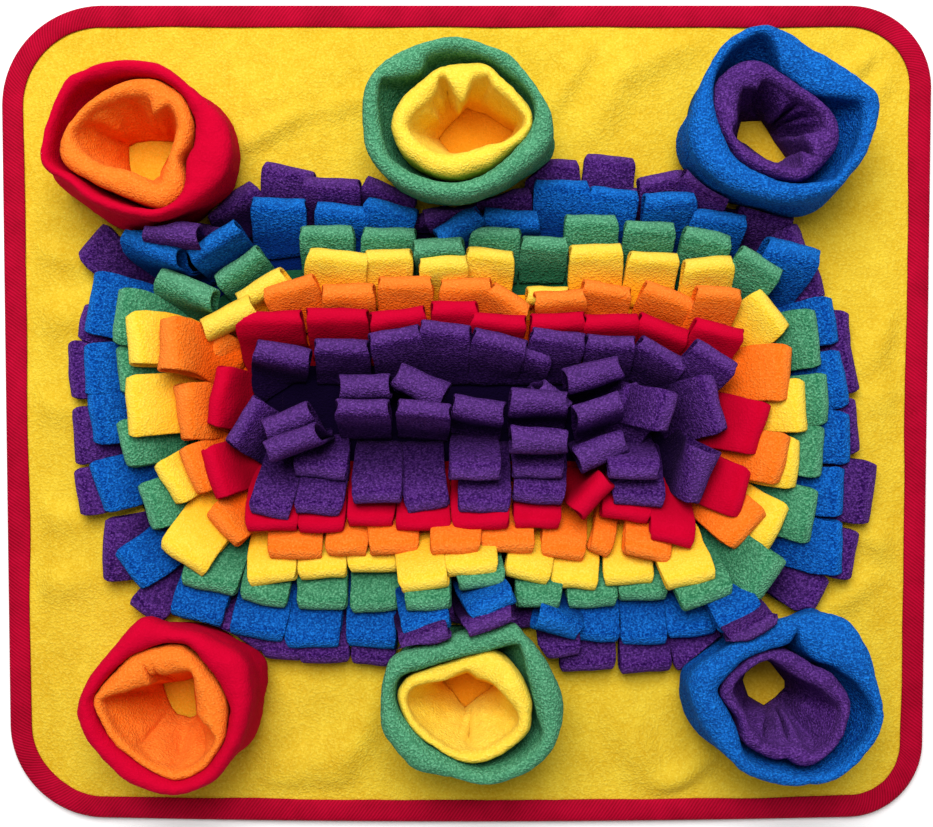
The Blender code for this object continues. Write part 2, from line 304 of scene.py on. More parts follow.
class Finish:
    """One material and its nodes."""

    def __init__(self, name: str) -> None:
        """Starts a material with its shader.

        Args:
            name: The material's name.
        """
        self.material = bpy.data.materials.new(name)
        self.material.use_nodes = True
        self.tree = self.material.node_tree
        self.shader = self.tree.nodes["Principled BSDF"]

    def node(self, kind: str, settings: dict[str, Any], inputs: dict[Any, Any]) -> bpy.types.Node:
        """Adds a node.

        Args:
            kind: The node's type.
            settings: Its own settings, set before its sockets.
            inputs: A number, colour, socket or Value for each socket.

        Returns:
            The node.
        """
        made = self.tree.nodes.new(kind)
        for key, setting in settings.items():
            setattr(made, key, setting)
        for key, value in inputs.items():
            self.feed(made.inputs[key], value)
        return made

    def feed(self, socket: bpy.types.NodeSocket, value: Any) -> None:
        """Links a socket or sets it.

        Args:
            socket: The socket that takes the value.
            value: A number, colour, socket or Value.
        """
        if isinstance(value, Value):
            value = value.socket
        if isinstance(value, bpy.types.NodeSocket):
            self.tree.links.new(value, socket)
        elif isinstance(value, tuple) and len(value) == 3 and socket.type == "RGBA":
            socket.default_value = (*value, 1.0)
        else:
            socket.default_value = value

    def shade(self, inputs: dict[str, Any]) -> None:
        """Feeds each of the shader's sockets that is named."""
        for key, value in inputs.items():
            self.feed(self.shader.inputs[key], value)

    def place(self) -> bpy.types.NodeSocket:
        """Returns the piece's own coordinates."""
        return self.node("ShaderNodeTexCoord", {}, {}).outputs["Object"]

    def grain(self, place: Any, scale: float, detail: float,
              stretch: tuple[float, float, float] = (1, 1, 1), distortion: float = 0.0) -> Value:
        """Adds a noise.

        Args:
            place: Coordinates that the noise lies on.
            scale: Swells in a metre.
            detail: Layers of finer noise.
            stretch: Scale along each axis.
            distortion: How far the noise is pulled about.

        Returns:
            The noise, from 0 to 1.
        """
        mapped = self.node("ShaderNodeMapping", {}, {"Vector": place, "Scale": stretch})
        made = self.node("ShaderNodeTexNoise", {}, {
            "Vector": mapped.outputs[0], "Scale": scale, "Detail": detail, "Roughness": 0.6,
            "Distortion": distortion,
        })
        return Value(self, made.outputs[0])

    def cells(self, place: Any, scale: float) -> Value:
        """Returns the distance to the middle of the nearest of scattered cells, so many in a metre."""
        made = self.node("ShaderNodeTexVoronoi", {"feature": "F1"}, {"Vector": place, "Scale": scale})
        return Value(self, made.outputs["Distance"])

    def mark(self, name: str) -> bpy.types.NodeSocket:
        """Returns a mark that the piece's vertices carry."""
        return self.node("ShaderNodeAttribute", {"attribute_name": name}, {}).outputs["Fac"]

    def ramp(self, value: Value, low: float, high: float) -> Value:
        """Returns a value stretched so that low gives 0 and high gives 1."""
        made = self.node("ShaderNodeMapRange", {}, {"Value": value, "From Min": low, "From Max": high})
        return Value(self, made.outputs[0])

    def mix(self, share: Any, low: Any, high: Any) -> bpy.types.NodeSocket:
        """Returns two colours mixed, with so large a share of the second."""
        made = self.node("ShaderNodeMix", {"data_type": "RGBA"}, {0: share, 6: low, 7: high})
        return made.outputs[2]

    def bump(self, height: Value, depth: float, strength: float) -> None:
        """Raises the surface by a height from 0 to 1, where 1 stands out by the depth, in metres."""
        inputs = {"Height": height, "Distance": depth, "Strength": strength}
        self.shade({"Normal": self.node("ShaderNodeBump", {}, inputs).outputs[0]})


@dataclass(frozen=True)
class Fleece:
    """Brushed fleece with a short curled nap.

    Attributes:
        hidden: Colour of its painted shade, which the painted_shade mark mixes in.
        deep: Colour between the curls.
        body: Colour of the nap.
        tip_and_highlight: Colour of the curls' tips, and of the painted highlights and painted light
            that the painted_light mark adds.
        curl: How strong the curls are, from 0 to 1.
        pitch: Curls in a metre.
        sheen: Weight of the soft light at the nap's tips.
        mottle: How strong the small patches are.
        drift: How strong the broad patches are.
    """

    # Colour of the painted shade
    hidden: Colour
    deep: Colour
    body: Colour
    # Colour of the curls' tips and of painted highlights and painted light
    tip_and_highlight: Colour
    curl: float = 1.0
    pitch: float = 820.0
    sheen: float = 0.10
    mottle: float = 0.16
    drift: float = 0.18

    def make(self, name: str) -> bpy.types.Material:
        """Builds the finish.

        Args:
            name: The material's name.

        Returns:
            The material.
        """
        finish = Finish(name)
        place = finish.place()
        waves = finish.ramp(finish.grain(place, self.pitch, 1.0, (0.9, 1.1, 1.0), 0.5), 0.36, 0.64)
        knots = finish.ramp(finish.cells(place, self.pitch * 0.95), 0.62, 0.12)
        curls = waves * 0.5 + knots * 0.5
        tufts = finish.ramp(finish.grain(place, self.pitch * 0.20, 2.0), 0.35, 0.65)
        drift = finish.ramp(finish.grain(place, 26.0, 2.0), 0.35, 0.65)
        # Painted light and highlight, and painted shade, carried on the pieces' vertices
        painted_light = Value(finish, finish.mark("painted_light"))
        painted_shade = Value(finish, finish.mark("painted_shade"))
        level = 0.61 - 0.60 * self.curl - 0.5 * (self.mottle + self.drift)
        lift = curls * (1.15 * self.curl) + tufts * self.mottle + drift * self.drift + level
        ground = finish.mix(lift, self.deep, self.body)
        # The curls' tips are lighter, and painted highlights and painted light are added to them
        tips_and_highlight = (curls * curls) * (0.60 * self.curl) + painted_light * 0.26
        nap_and_highlight = finish.mix(tips_and_highlight, ground, self.tip_and_highlight)
        finish.bump(curls + tufts * 0.30, 0.0013, 0.12 + 0.62 * self.curl)
        # Painted shade mixes the colour towards the shade colour
        finish.shade({
            "Base Color": finish.mix(painted_shade, nap_and_highlight, self.hidden), "Roughness": 0.95,
            "Specular IOR Level": 0.04, "Sheen Weight": self.sheen, "Sheen Roughness": 0.45,
            "Sheen Tint": self.tip_and_highlight,
        })
        return finish.material


@dataclass(frozen=True)
class Twill:
    """Woven tape with slanting ribs.

    Attributes:
        deep: Colour between the ribs.
        body: Colour of the ribs.
        ribs: Ribs in a metre of the tape's length.
    """

    deep: Colour = (0.20, 0.0, 0.007)
    body: Colour = (0.56, 0.001, 0.034)
    ribs: float = 640.0

    def make(self, name: str) -> bpy.types.Material:
        """Builds the finish.

        Args:
            name: The material's name.

        Returns:
            The material.
        """
        finish = Finish(name)
        lay = finish.node("ShaderNodeUVMap", {"uv_map": "lay"}, {}).outputs[0]
        turned = finish.node("ShaderNodeMapping", {}, {"Vector": lay, "Rotation": (0.0, 0.0, 0.62)})
        wave = finish.node("ShaderNodeTexWave", {"wave_type": "BANDS", "bands_direction": "X"}, {
            "Vector": turned.outputs[0], "Scale": self.ribs * 2 * math.pi / 20, "Distortion": 1.2,
            "Detail": 2.0, "Detail Scale": 1.5,
        })
        ribs = Value(finish, wave.outputs["Fac"])
        drift = finish.ramp(finish.grain(finish.place(), 60.0, 3.0), 0.3, 0.7)
        fuzz = finish.ramp(finish.grain(finish.place(), 1400.0, 2.0), 0.3, 0.7)
        share = ribs * 0.52 + drift * 0.32 + fuzz * 0.16
        finish.bump(ribs * 0.8 + fuzz * 0.3, 0.0005, 0.5)
        finish.shade({
            "Base Color": finish.mix(share, self.deep, self.body), "Roughness": 0.70,
            "Specular IOR Level": 0.05, "Sheen Weight": 0.02, "Sheen Tint": (0.90, 0.20, 0.25),
        })
        return finish.material


class Cloth(Enum):
    """The cloths of the mat: each one's slot in the record and its finish."""

    # Each fleece's first colour is its painted shade colour, and its last is that of its curls' tips
    # and its painted highlights
    PANEL = ("panel_yellow", Fleece(
        (0.95, 0.25, 0.003), (0.62, 0.36, 0.010), (0.81, 0.575, 0.037), (0.95, 0.75, 0.12),
        curl=0.44, pitch=720.0, sheen=0.04, mottle=0.26, drift=0.30))
    TAPE = ("binding_crimson", Twill())
    PURPLE = ("fleece_purple", Fleece(
        (0.003, 0.0005, 0.012), (0.012, 0.001, 0.044), (0.076, 0.012, 0.190), (0.220, 0.085, 0.400),
        curl=0.95))
    BLUE = ("fleece_blue", Fleece(
        (0.0005, 0.010, 0.085), (0.001, 0.024, 0.190), (0.002, 0.108, 0.530), (0.026, 0.300, 0.880)))
    GREEN = ("fleece_green", Fleece(
        (0.008, 0.070, 0.030), (0.017, 0.140, 0.060), (0.062, 0.330, 0.155), (0.240, 0.600, 0.360)))
    YELLOW = ("fleece_yellow", Fleece(
        (0.96, 0.32, 0.003), (0.84, 0.46, 0.010), (0.94, 0.68, 0.045), (1.0, 0.84, 0.190), curl=0.50))
    ORANGE = ("fleece_orange", Fleece(
        (0.80, 0.078, 0.001), (0.82, 0.12, 0.003), (0.94, 0.195, 0.012), (1.0, 0.36, 0.075), curl=0.60))
    RED = ("fleece_red", Fleece(
        (0.16, 0.0, 0.005), (0.40, 0.0, 0.012), (0.57, 0.0, 0.024), (0.70, 0.004, 0.050),
        curl=0.22, sheen=0.02))

    @property
    def slot(self) -> str:
        """Returns the record's slot."""
        return self.value[0]

    def material(self) -> bpy.types.Material:
        """Returns the cloth's material, made once."""
        return bpy.data.materials.get("cloth_" + self.slot) or self.value[1].make("cloth_" + self.slot)


def dress(piece: bpy.types.Object, cloth: Cloth, *nodes: str) -> None:
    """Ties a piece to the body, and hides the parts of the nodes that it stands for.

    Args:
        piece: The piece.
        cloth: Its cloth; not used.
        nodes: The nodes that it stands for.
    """
    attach(piece, BODY)
    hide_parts(*nodes)
    LOG.info("%s: %d faces, for %s", piece.name, len(piece.data.polygons), ", ".join(nodes))


def bound_edge(across: np.ndarray, deep: np.ndarray, inset: float) -> np.ndarray:
    """Points of the mat's outline.

    Args:
        across: Places across a square from -1 to 1, on its edge.
        deep: Places up that square.
        inset: How far inside the mat's edge the outline runs, in metres.

    Returns:
        Points on the round-cornered outline, with no height.
    """
    half = np.array([HALF_WIDTH - inset, HALF_DEPTH - inset])
    sharp = np.stack([across * half[0], deep * half[1]], axis=-1)
    for (side_x, side_y), whole in CORNER_RADII.items():
        radius = max(whole - inset, 0.004)
        side = np.array([side_x, side_y])
        centre = side * (half - radius)
        beyond = (sharp - centre) * side
        inside = (beyond > 0).all(axis=-1, keepdims=True)
        sharp = np.where(inside, centre + unit(sharp - centre) * radius, sharp)
    return uneven(sharp)


def uneven(points: np.ndarray) -> np.ndarray:
    """Flares the far edge and bows the near edge.

    Args:
        points: Level points on the mat.

    Returns:
        The points moved.
    """
    x = points[..., 0] * (1 + FAR_FLARE * points[..., 1] / HALF_DEPTH)
    bow = np.where(points[..., 1] < 0, NEAR_BOW * (points[..., 0] / HALF_WIDTH) ** 2, 0.0)
    return np.stack([x, points[..., 1] * (1 - bow)], axis=-1)


class Field:
    """Heights of what lies on the mat, on a level grid: each loop is laid on those before it.

    Attributes:
        pitch: Side of the grid's cells, in metres.
        reach: Half the grid's side, in metres.
    """

    pitch = 0.0020
    reach = 0.270

    def __init__(self) -> None:
        """Starts with the bare panel."""
        cells = 2 * round(self.reach / self.pitch)
        self.top = np.full((cells, cells), PANEL_TOP)

    def cells(self, points: np.ndarray) -> tuple[np.ndarray, np.ndarray]:
        """Returns the cells that points stand over."""
        at = np.clip((points[..., :2] + self.reach) / self.pitch, 0, len(self.top) - 1).astype(int)
        return at[..., 0], at[..., 1]

    def under(self, points: np.ndarray) -> np.ndarray:
        """Returns the heights under points."""
        return self.top[self.cells(points)]

    def lay(self, points: np.ndarray) -> None:
        """Raises the field to points that now lie on it."""
        np.maximum.at(self.top, self.cells(points), points[..., 2])


@dataclass(frozen=True)
class Loop:
    """One folded loop of a ring: where its fold shows, and how it is bent.

    Attributes:
        across: Pixels from the left edge to the middle of its fold.
        down: Pixels from the top edge to the middle of its fold.
        heading: Degrees clockwise from the far side that it points to.
        wide: Its width in pixels.
        roll: Radius of its fold, in millimetres.
        least: Height that its fold is at, or higher, in millimetres; 0 leaves it to its ring.
        tilt: How much higher its right end is, as it points away, in millimetres.
        cone: Radius of the fold's right end, over that of its left end.
        plunge: How steeply it drops behind its fold.
        reach: How far its root lies behind its fold, in millimetres; 0 leaves it to its fringe.
        most: Height that its fold stays under, in millimetres.
    """

    across: float
    down: float
    heading: float
    wide: float = 54.0
    roll: float = 3.6
    least: float = 0.0
    tilt: float = 0.0
    cone: float = 1.0
    plunge: float = 0.0
    reach: float = 0.0
    most: float = 54.0


@dataclass
class Fringe:
    """A strip cut into loops that are doubled back, and sewn down along a rounded line or in a row.

    Attributes:
        name: The node that it stands for.
        dye: Its cloth.
        half_x: Half the sewn line's width, in metres.
        half_y: Half its depth, or a row's place on the mat.
        radius: Radius of its corners, or 0 for a row.
        least: Height that its folds are at, or higher, in metres.
        seed: Seed of its unevenness.
        loops: Its loops, in the order that they lie on each other.
        band: Half the width of the strip that the loops are cut from, at the sewn line.
        steps: Rows up a loop's under side, round its fold and down its upper side.
        droop: How far a loop bulges above a straight rise.
        stand: How much less it bulges when it points to the far side.
        ring_reach: How far a loop of a ring is sewn down behind its fold.
        row_reach: The same for a loop of a row.
        slit: Share of a loop's width that its cloth takes, beside the slits.
        cut: How far its cut edges are rounded.
        gap: Half the gap between its two layers at the root.
        skin: How far its faces are off the line up its middle, for laying.
        press: How far it may press into what it lies on, over a small share of it.
    """

    name: str
    dye: Cloth
    half_x: float
    half_y: float
    radius: float
    least: float
    seed: int
    loops: Sequence[Loop]
    band: float = 0.0074
    steps: tuple[int, int, int] = (6, 6, 10)
    droop: float = 0.35
    stand: float = 0.95
    ring_reach: float = 0.022
    row_reach: float = 0.010
    slit: float = 0.968
    cut: float = 0.0009
    gap: float = 0.0010
    skin: float = 0.0012
    press: float = 0.0008

    def sewn_line(self, count: int = 480) -> np.ndarray:
        """The line that the loops are sewn down along.

        Args:
            count: How many points to give.

        Returns:
            Points along it.
        """
        if not self.radius:
            along = np.linspace(-self.half_x, self.half_x, count)
            return np.stack([along, np.full(count, self.half_y), np.full(count, ROOT_HEIGHT)], axis=-1)
        sharp = square_ring(count) * [self.half_x, self.half_y]
        core = np.array([self.half_x, self.half_y]) - self.radius
        near = np.clip(sharp, -core, core)
        rounded = near + unit(sharp - near) * self.radius
        return np.concatenate([rounded, np.full((count, 1), ROOT_HEIGHT)], axis=-1)

    def root(self, loop: Loop, tip: np.ndarray, heading: np.ndarray) -> tuple[np.ndarray, np.ndarray]:
        """Finds where a loop is sewn down.

        Args:
            loop: The loop.
            tip: Its fold.
            heading: Where it points.

        Returns:
            Its place on the sewn line, and the level direction out from the line there.
        """
        line = self.sewn_line()
        reach = loop.reach / MM or (self.ring_reach if self.radius else self.row_reach)
        place = tip - heading * reach
        index = int(np.argmin(np.linalg.norm((line - place)[:, :2], axis=1)))
        if not self.radius:
            return line[index], heading
        run = line[(index + 1) % len(line)] - line[index - 1]
        return line[index], unit(np.array([run[1], -run[0], 0.0]))

    def spine(self, loop: Loop, height: float, tilt: float,
              steps: np.ndarray) -> tuple[np.ndarray, ...]:
        """The line up a loop's middle.

        Args:
            loop: The loop.
            height: Height of its fold.
            tilt: How much higher its right end is.
            steps: Shares of the way from its root to its fold.

        Returns:
            Points, directions onward, directions to the right and directions up from the cloth.
        """
        heading = compass(loop.heading)
        tip = VIEW.place(loop.across, loop.down, height)
        root, out = self.root(loop, tip, heading)
        rise = height - ROOT_HEIGHT
        reach = np.linalg.norm((tip - root)[:2])
        chord = max(reach, 0.012)
        t = steps[:, None]
        bend = 0.9 * chord
        level = ((2 * t ** 3 - 3 * t ** 2 + 1) * root + (t ** 3 - 2 * t ** 2 + t) * out * bend
                 + (3 * t ** 2 - 2 * t ** 3) * tip + (t ** 3 - t ** 2) * heading * bend)
        bulge = self.droop - loop.plunge - self.stand * max(0.0, float(heading[1]))
        climb = steps + max(bulge, -0.95) * steps * (1 - steps)
        line = np.concatenate([level[:, :2], (ROOT_HEIGHT + rise * climb)[:, None]], axis=1)
        onward = unit(np.gradient(line, axis=0))
        right_tip = np.array([heading[1], -heading[0], 0.0])
        right_root = np.array([out[1], -out[0], 0.0])
        share = smooth_step(steps, 0.0, 0.45)[:, None]
        right = unit(right_root * (1 - share) + right_tip * share)
        right = right + UP * (tilt / max(VIEW.length(loop.wide, height), 0.01)) * share
        right = unit(right - onward * (right * onward).sum(axis=1, keepdims=True))
        return line, onward, right, np.cross(right, onward)

    def face(self, loop: Loop, height: float, steps: np.ndarray, sides: np.ndarray,
             side: float) -> np.ndarray:
        """Points on a loop's upper or under face, near enough to lay it by.

        Args:
            loop: The loop.
            height: Height of its fold.
            steps: Shares of the way from its root to its fold.
            sides: Shares of half its width, to the right.
            side: Share of its roll that the face stands up from its middle at the fold; less than 0 is
                the under face.

        Returns:
            The points, in rows along the loop.
        """
        line, _, right, up = self.spine(loop, height, loop.tilt / MM, steps)
        half = VIEW.length(loop.wide, height) / 2
        off = math.copysign(self.skin, side) + side * loop.roll / MM * steps
        cloth = line[:, None] + right[:, None] * (sides * half)[None, :, None]
        return cloth + up[:, None] * off[:, None, None]

    def settle(self, loop: Loop, lying: Field) -> float:
        """Finds how high a loop lies on those under it, and lays it on them.

        Args:
            loop: The loop.
            lying: What lies on the mat so far.

        Returns:
            The height of its fold.
        """
        steps, sides = np.linspace(0.3, 1.0, 8), np.linspace(-0.8, 0.8, 7)
        height = loop.least / MM if loop.least else self.least
        while height < loop.most / MM:
            under = self.face(loop, height, steps, sides, -0.6)
            if np.percentile(under[..., 2] - lying.under(under), 14) > -self.press:
                break
            height += 1 / MM
        lying.lay(self.face(loop, height, np.linspace(0.0, 1.0, 18), np.linspace(-0.9, 0.9, 14), 0.8))
        return height

    def cloth(self, loop: Loop, height: float, tilt: float, dice: np.random.Generator) -> np.ndarray:
        """Bends one loop.

        Args:
            loop: The loop.
            height: Height of its fold.
            tilt: How much higher its right end is.
            dice: Its unevenness.

        Returns:
            Points on the cloth's skin, in rows along the loop.
        """
        low, turn, top = self.steps
        radius = loop.roll / MM * dice.uniform(0.92, 1.12)
        steps = np.linspace(0, 1, 25)
        line, onward, right, up = self.spine(loop, height, tilt, steps)
        length = np.linalg.norm(np.diff(line, axis=0), axis=1).sum()
        last = max(0.3, 1 - radius / length)
        under = np.linspace(0.0, last, low, endpoint=False)
        over = np.linspace(last, 0.0, top + 1)[1:]
        along = np.concatenate([under, np.full(turn + 1, last), over])
        angle = np.radians(np.concatenate([np.full(low, -90.0), np.linspace(-90, 90, turn + 1),
                                           np.full(top, 90.0)]))
        centre = sampled(line, steps, along)
        ahead, side, lift = (unit(sampled(way, steps, along)) for way in (onward, right, up))
        half = self.slit * VIEW.length(loop.wide, height) / 2
        edge = min(self.cut / half, 0.2)
        flat = np.linspace(-1 + edge, 1 - edge, 8)
        level = np.ones(len(flat))
        round_u = np.concatenate([flat, [1 - 0.3 * edge, 1.0, 1 - 0.3 * edge], flat[::-1],
                                  [-1 + 0.3 * edge, -1.0, -1 + 0.3 * edge], flat[:1]])
        round_v = np.concatenate([level, [0.75, 0.0, -0.75], -level, [-0.75, 0.0, 0.75], [1.0]])
        opening = smooth_step(along / last, 0.15 + 0.4 * min(loop.plunge, 1.0), 1.0)
        gap = self.gap + (radius - self.gap) * opening
        spread = gap[:, None] * (1 + (loop.cone - 1) * round_u[None, :] / (1 + loop.cone))
        waist = 0.96 + 0.04 * smooth_step(along, 0.0, 0.4) - 0.0013 / half * np.cos(angle) ** 2
        outward = (np.cos(angle)[:, None] * ahead + np.sin(angle)[:, None] * lift)[:, None]
        breadth = side[:, None] * (round_u * half)[None, :, None] * waist[:, None, None]
        points = centre[:, None] + breadth
        points = points + outward * (spread[..., None] + round_v[None, :, None] * FLEECE / 2)
        crown = dice.uniform(0.0006, 0.0026) * (1 - round_u ** 2) * along[:, None] ** 1.5
        skew = dice.uniform(-0.0012, 0.0012) * round_u * smooth_step(along, 0.3, 1.0)[:, None]
        points = points + UP * crown[..., None] + ahead[:, None] * skew[..., None]
        return self.unevened(points, dice)

    def unevened(self, points: np.ndarray, dice: np.random.Generator) -> np.ndarray:
        """Gives a loop the soft dents of cut fleece.

        Args:
            points: Points on the loop.
            dice: Its unevenness.

        Returns:
            The points moved.
        """
        seed = dice.uniform(0, 90)
        shift = np.stack([rough(points, 0.011, seed + 7 * k) for k in range(3)], axis=-1)
        fine = rough(points, 0.0045, seed + 31)
        return points + shift * 0.0009 + fine[..., None] * (UP * 0.00030)

    def marks(self, loop: Loop, points: np.ndarray) -> tuple[np.ndarray, np.ndarray]:
        """Works out a loop's painted highlight and painted shade.

        Args:
            loop: The loop.
            points: Points on the loop, in rows along it.

        Returns:
            How much painted highlight each point takes, most on the fold, and how much painted shade.
        """
        low, turn, top = self.steps
        # Painted highlight, most on the fold
        over = np.sin(np.linspace(0, math.pi, turn + 1))
        fold = np.concatenate([np.zeros(low), over, np.linspace(0.3, 0, top)])
        drop = float(np.clip(loop.plunge, 0.0, 1.2))
        # Painted shade, most at the root and behind the fold
        behind = smooth_step(np.arange(1, top + 1) / top, 0.0, 0.70 - 0.32 * drop)
        before = np.linspace(0.5, 0, turn + 1) ** 1.5
        painted_shade = np.concatenate([np.linspace(1, 0.5, low), before, behind])
        # Deeper painted shade on loops that point to the far side, whose faces turn from the light, and
        # on loops that drop steeply behind their folds
        weight = 0.62 + 0.26 * max(0.0, float(compass(loop.heading)[1])) if self.radius else 0.45
        weight = min(weight + 0.30 * max(loop.plunge, 0.0), 0.95)
        shape = points.shape[:2]
        return np.broadcast_to(fold[:, None], shape), np.broadcast_to((weight * painted_shade)[:, None], shape)

    def sewn_band(self, sheet: Sheet) -> None:
        """Adds the strip that the loops are cut from, along the sewn line.

        Args:
            sheet: The fringe's mesh.
        """
        line = self.sewn_line(160)
        if self.radius:
            onward = np.roll(line, -1, axis=0) - np.roll(line, 1, axis=0)
        else:
            onward = np.gradient(line, axis=0)
        side = unit(np.stack([onward[:, 1], -onward[:, 0], np.zeros(len(line))], axis=-1))
        turn = np.linspace(0, 2 * math.pi, 13)
        wide = np.cos(turn) * self.band
        high = PANEL_TOP + FLEECE / 2 + self.least / 40 + np.sin(turn) * FLEECE / 2
        rows = line[:, None] + side[:, None] * wide[None, :, None]
        rows[..., 2] = high[None, :]
        if self.radius:
            rows = np.concatenate([rows, rows[:1]])
        # The strip under the loops is painted fully in shade
        sheet.bend(rows, painted_shade=np.ones(rows.shape[:2]))

    def build(self, lying: Field, cups_on: Sequence["Cup"]) -> None:
        """Builds the fringe.

        Args:
            lying: What lies on the mat so far.
            cups_on: The cups that its loops stay out of.
        """
        dice = np.random.default_rng(self.seed)
        sheet = Sheet()
        wide = 0.0
        heights = []
        for loop in self.loops:
            height = self.settle(loop, lying)
            lean = dice.uniform(-0.0015, 0.0015)
            points = self.cloth(loop, height, loop.tilt / MM + lean, dice)
            for cup in cups_on:
                points = cup.push(points)
            points[..., 2] = np.maximum(points[..., 2], PANEL_TOP + 0.0002)
            sheet.bend(points, *self.marks(loop, points))
            wide += VIEW.length(loop.wide, height)
            heights.append(height * MM)
        self.sewn_band(sheet)
        sheet.close(fill=True)
        piece = sheet.finish(self.name + "_cloth", self.dye.material())
        dress(piece, self.dye, self.name)
        LOG.info("%s: folds at %.0f to %.0f mm", self.name, min(heights), max(heights))


@dataclass(frozen=True)
class Crease:
    """One soft fold of the panel.

    Attributes:
        x: Its middle, in metres.
        y: Its middle, in metres.
        heading: Degrees anticlockwise from the mat's long side that it runs along.
        reach: Half its length.
        width: Its width.
        rise: Its height.
    """

    x: float
    y: float
    heading: float
    reach: float
    width: float
    rise: float

    def height(self, points: np.ndarray) -> np.ndarray:
        """How far it lifts the panel.

        Args:
            points: Level points on the panel.

        Returns:
            The lift at each of them.
        """
        turn = math.radians(self.heading)
        x, y = points[..., 0] - self.x, points[..., 1] - self.y
        along = (x * math.cos(turn) + y * math.sin(turn)) / self.reach
        across = (y * math.cos(turn) - x * math.sin(turn)) / self.width
        return self.rise * np.clip(1 - along ** 2, 0, 1) * np.exp(-across ** 2)


CREASES = tuple(Crease(*row) for row in (
    (-0.096, 0.175, 25, 0.050, 0.016, 0.0030), (-0.108, 0.153, 28, 0.030, 0.0055, 0.0024),
    (-0.060, 0.170, 15, 0.030, 0.0070, 0.0020), (0.056, 0.182, 58, 0.028, 0.0060, 0.0024),
    (0.078, 0.174, 66, 0.034, 0.0100, 0.0028), (0.218, 0.194, 52, 0.022, 0.0045, 0.0026),
    (0.228, 0.182, 60, 0.022, 0.0050, 0.0020), (0.104, 0.194, 30, 0.028, 0.0080, 0.0018),
    (0.226, 0.040, 60, 0.026, 0.0090, 0.0024), (0.230, 0.010, 10, 0.022, 0.0100, 0.0018),
    (0.224, -0.070, -30, 0.030, 0.0080, 0.0026), (0.206, -0.100, 35, 0.026, 0.0070, 0.0022),
    (0.118, -0.196, 40, 0.030, 0.0065, 0.0034), (0.094, -0.182, -60, 0.036, 0.0120, 0.0026),
    (-0.060, -0.178, 62, 0.034, 0.0090, 0.0026), (-0.084, -0.190, 20, 0.030, 0.0120, 0.0024),
    (-0.222, -0.092, 10, 0.028, 0.0090, 0.0024), (-0.224, -0.056, -8, 0.026, 0.0080, 0.0020),
    (-0.226, 0.004, -8, 0.026, 0.0090, 0.0020), (-0.224, 0.052, 6, 0.028, 0.0100, 0.0022),
    (-0.222, 0.086, -14, 0.024, 0.0070, 0.0018), (-0.214, 0.180, 48, 0.022, 0.0060, 0.0020),
))

# How far the panel's colour inside each cup is painted with shade, tinted by the light that its lining
# reflects
LINING_SHADE_AND_REFLECTION = {Cloth.YELLOW: 0.66, Cloth.ORANGE: 0.34, Cloth.PURPLE: 0.12}


@dataclass
class Panel:
    """The mat's fleece panel, with its soft folds, lifted a little where the binding wraps it.

    Attributes:
        creases: Its folds.
        steps: Cells of its grid along each side.
        inset: How far inside the mat's edge it ends.
        lifted: How far the binding lifts its edge.
        bound: Where the lift starts and is full, as shares of the way from its middle to its edge.
    """

    creases: tuple[Crease, ...] = CREASES
    steps: tuple[int, int] = (230, 204)
    inset: float = 0.0014
    lifted: float = 0.0013
    bound: tuple[float, float] = (0.90, 0.955)

    def middle(self, points: np.ndarray, edge: np.ndarray) -> np.ndarray:
        """Works out the height of the panel's middle.

        Args:
            points: Level places.
            edge: Nearness to the panel's edge, 1 on it.

        Returns:
            The heights.
        """
        rise = 1.6 * sum(crease.height(points) for crease in self.creases)
        level = np.concatenate([points, np.zeros(points.shape[:-1] + (1,))], axis=-1)
        swell = 0.0010 * (1 + rough(level, 0.048, 3.0)) + 0.0004 * (1 + rough(level, 0.016, 8.0))
        held = smooth_step(edge, *self.bound)
        return PANEL_THICK / 2 + (rise + swell) * (1 - held) + self.lifted * held

    def build(self, cups_on: Sequence["Cup"]) -> None:
        """Builds the panel.

        Args:
            cups_on: The cups on it, inside which its colour is painted with shade, tinted by the light
                that each lining reflects.
        """
        wide, deep = self.steps
        a, b = np.meshgrid(np.linspace(-1, 1, wide + 1), np.linspace(-1, 1, deep + 1))
        ring = np.maximum(np.abs(a), np.abs(b))
        safe = np.maximum(ring, 1e-6)
        edge = bound_edge(a / safe, b / safe, self.inset)
        level = edge * ring[..., None]
        points = np.concatenate([level, self.middle(level, ring)[..., None]], axis=-1)
        # Painted shade inside each cup, tinted by the light that its lining reflects
        painted_shade = np.zeros(ring.shape)
        for cup in cups_on:
            away = np.linalg.norm(level - [cup.x, cup.y], axis=-1)
            painted_shade = np.maximum(painted_shade, LINING_SHADE_AND_REFLECTION[cup.inner] * (1 - smooth_step(away, 0.030, 0.040)))
        sheet = Sheet()
        sheet.bend(points, painted_shade=painted_shade)
        piece = sheet.finish("mat_panel", Cloth.PANEL.material(), outward=False)
        thicken(piece, PANEL_THICK)
        dress(piece, Cloth.PANEL, "base_panel")


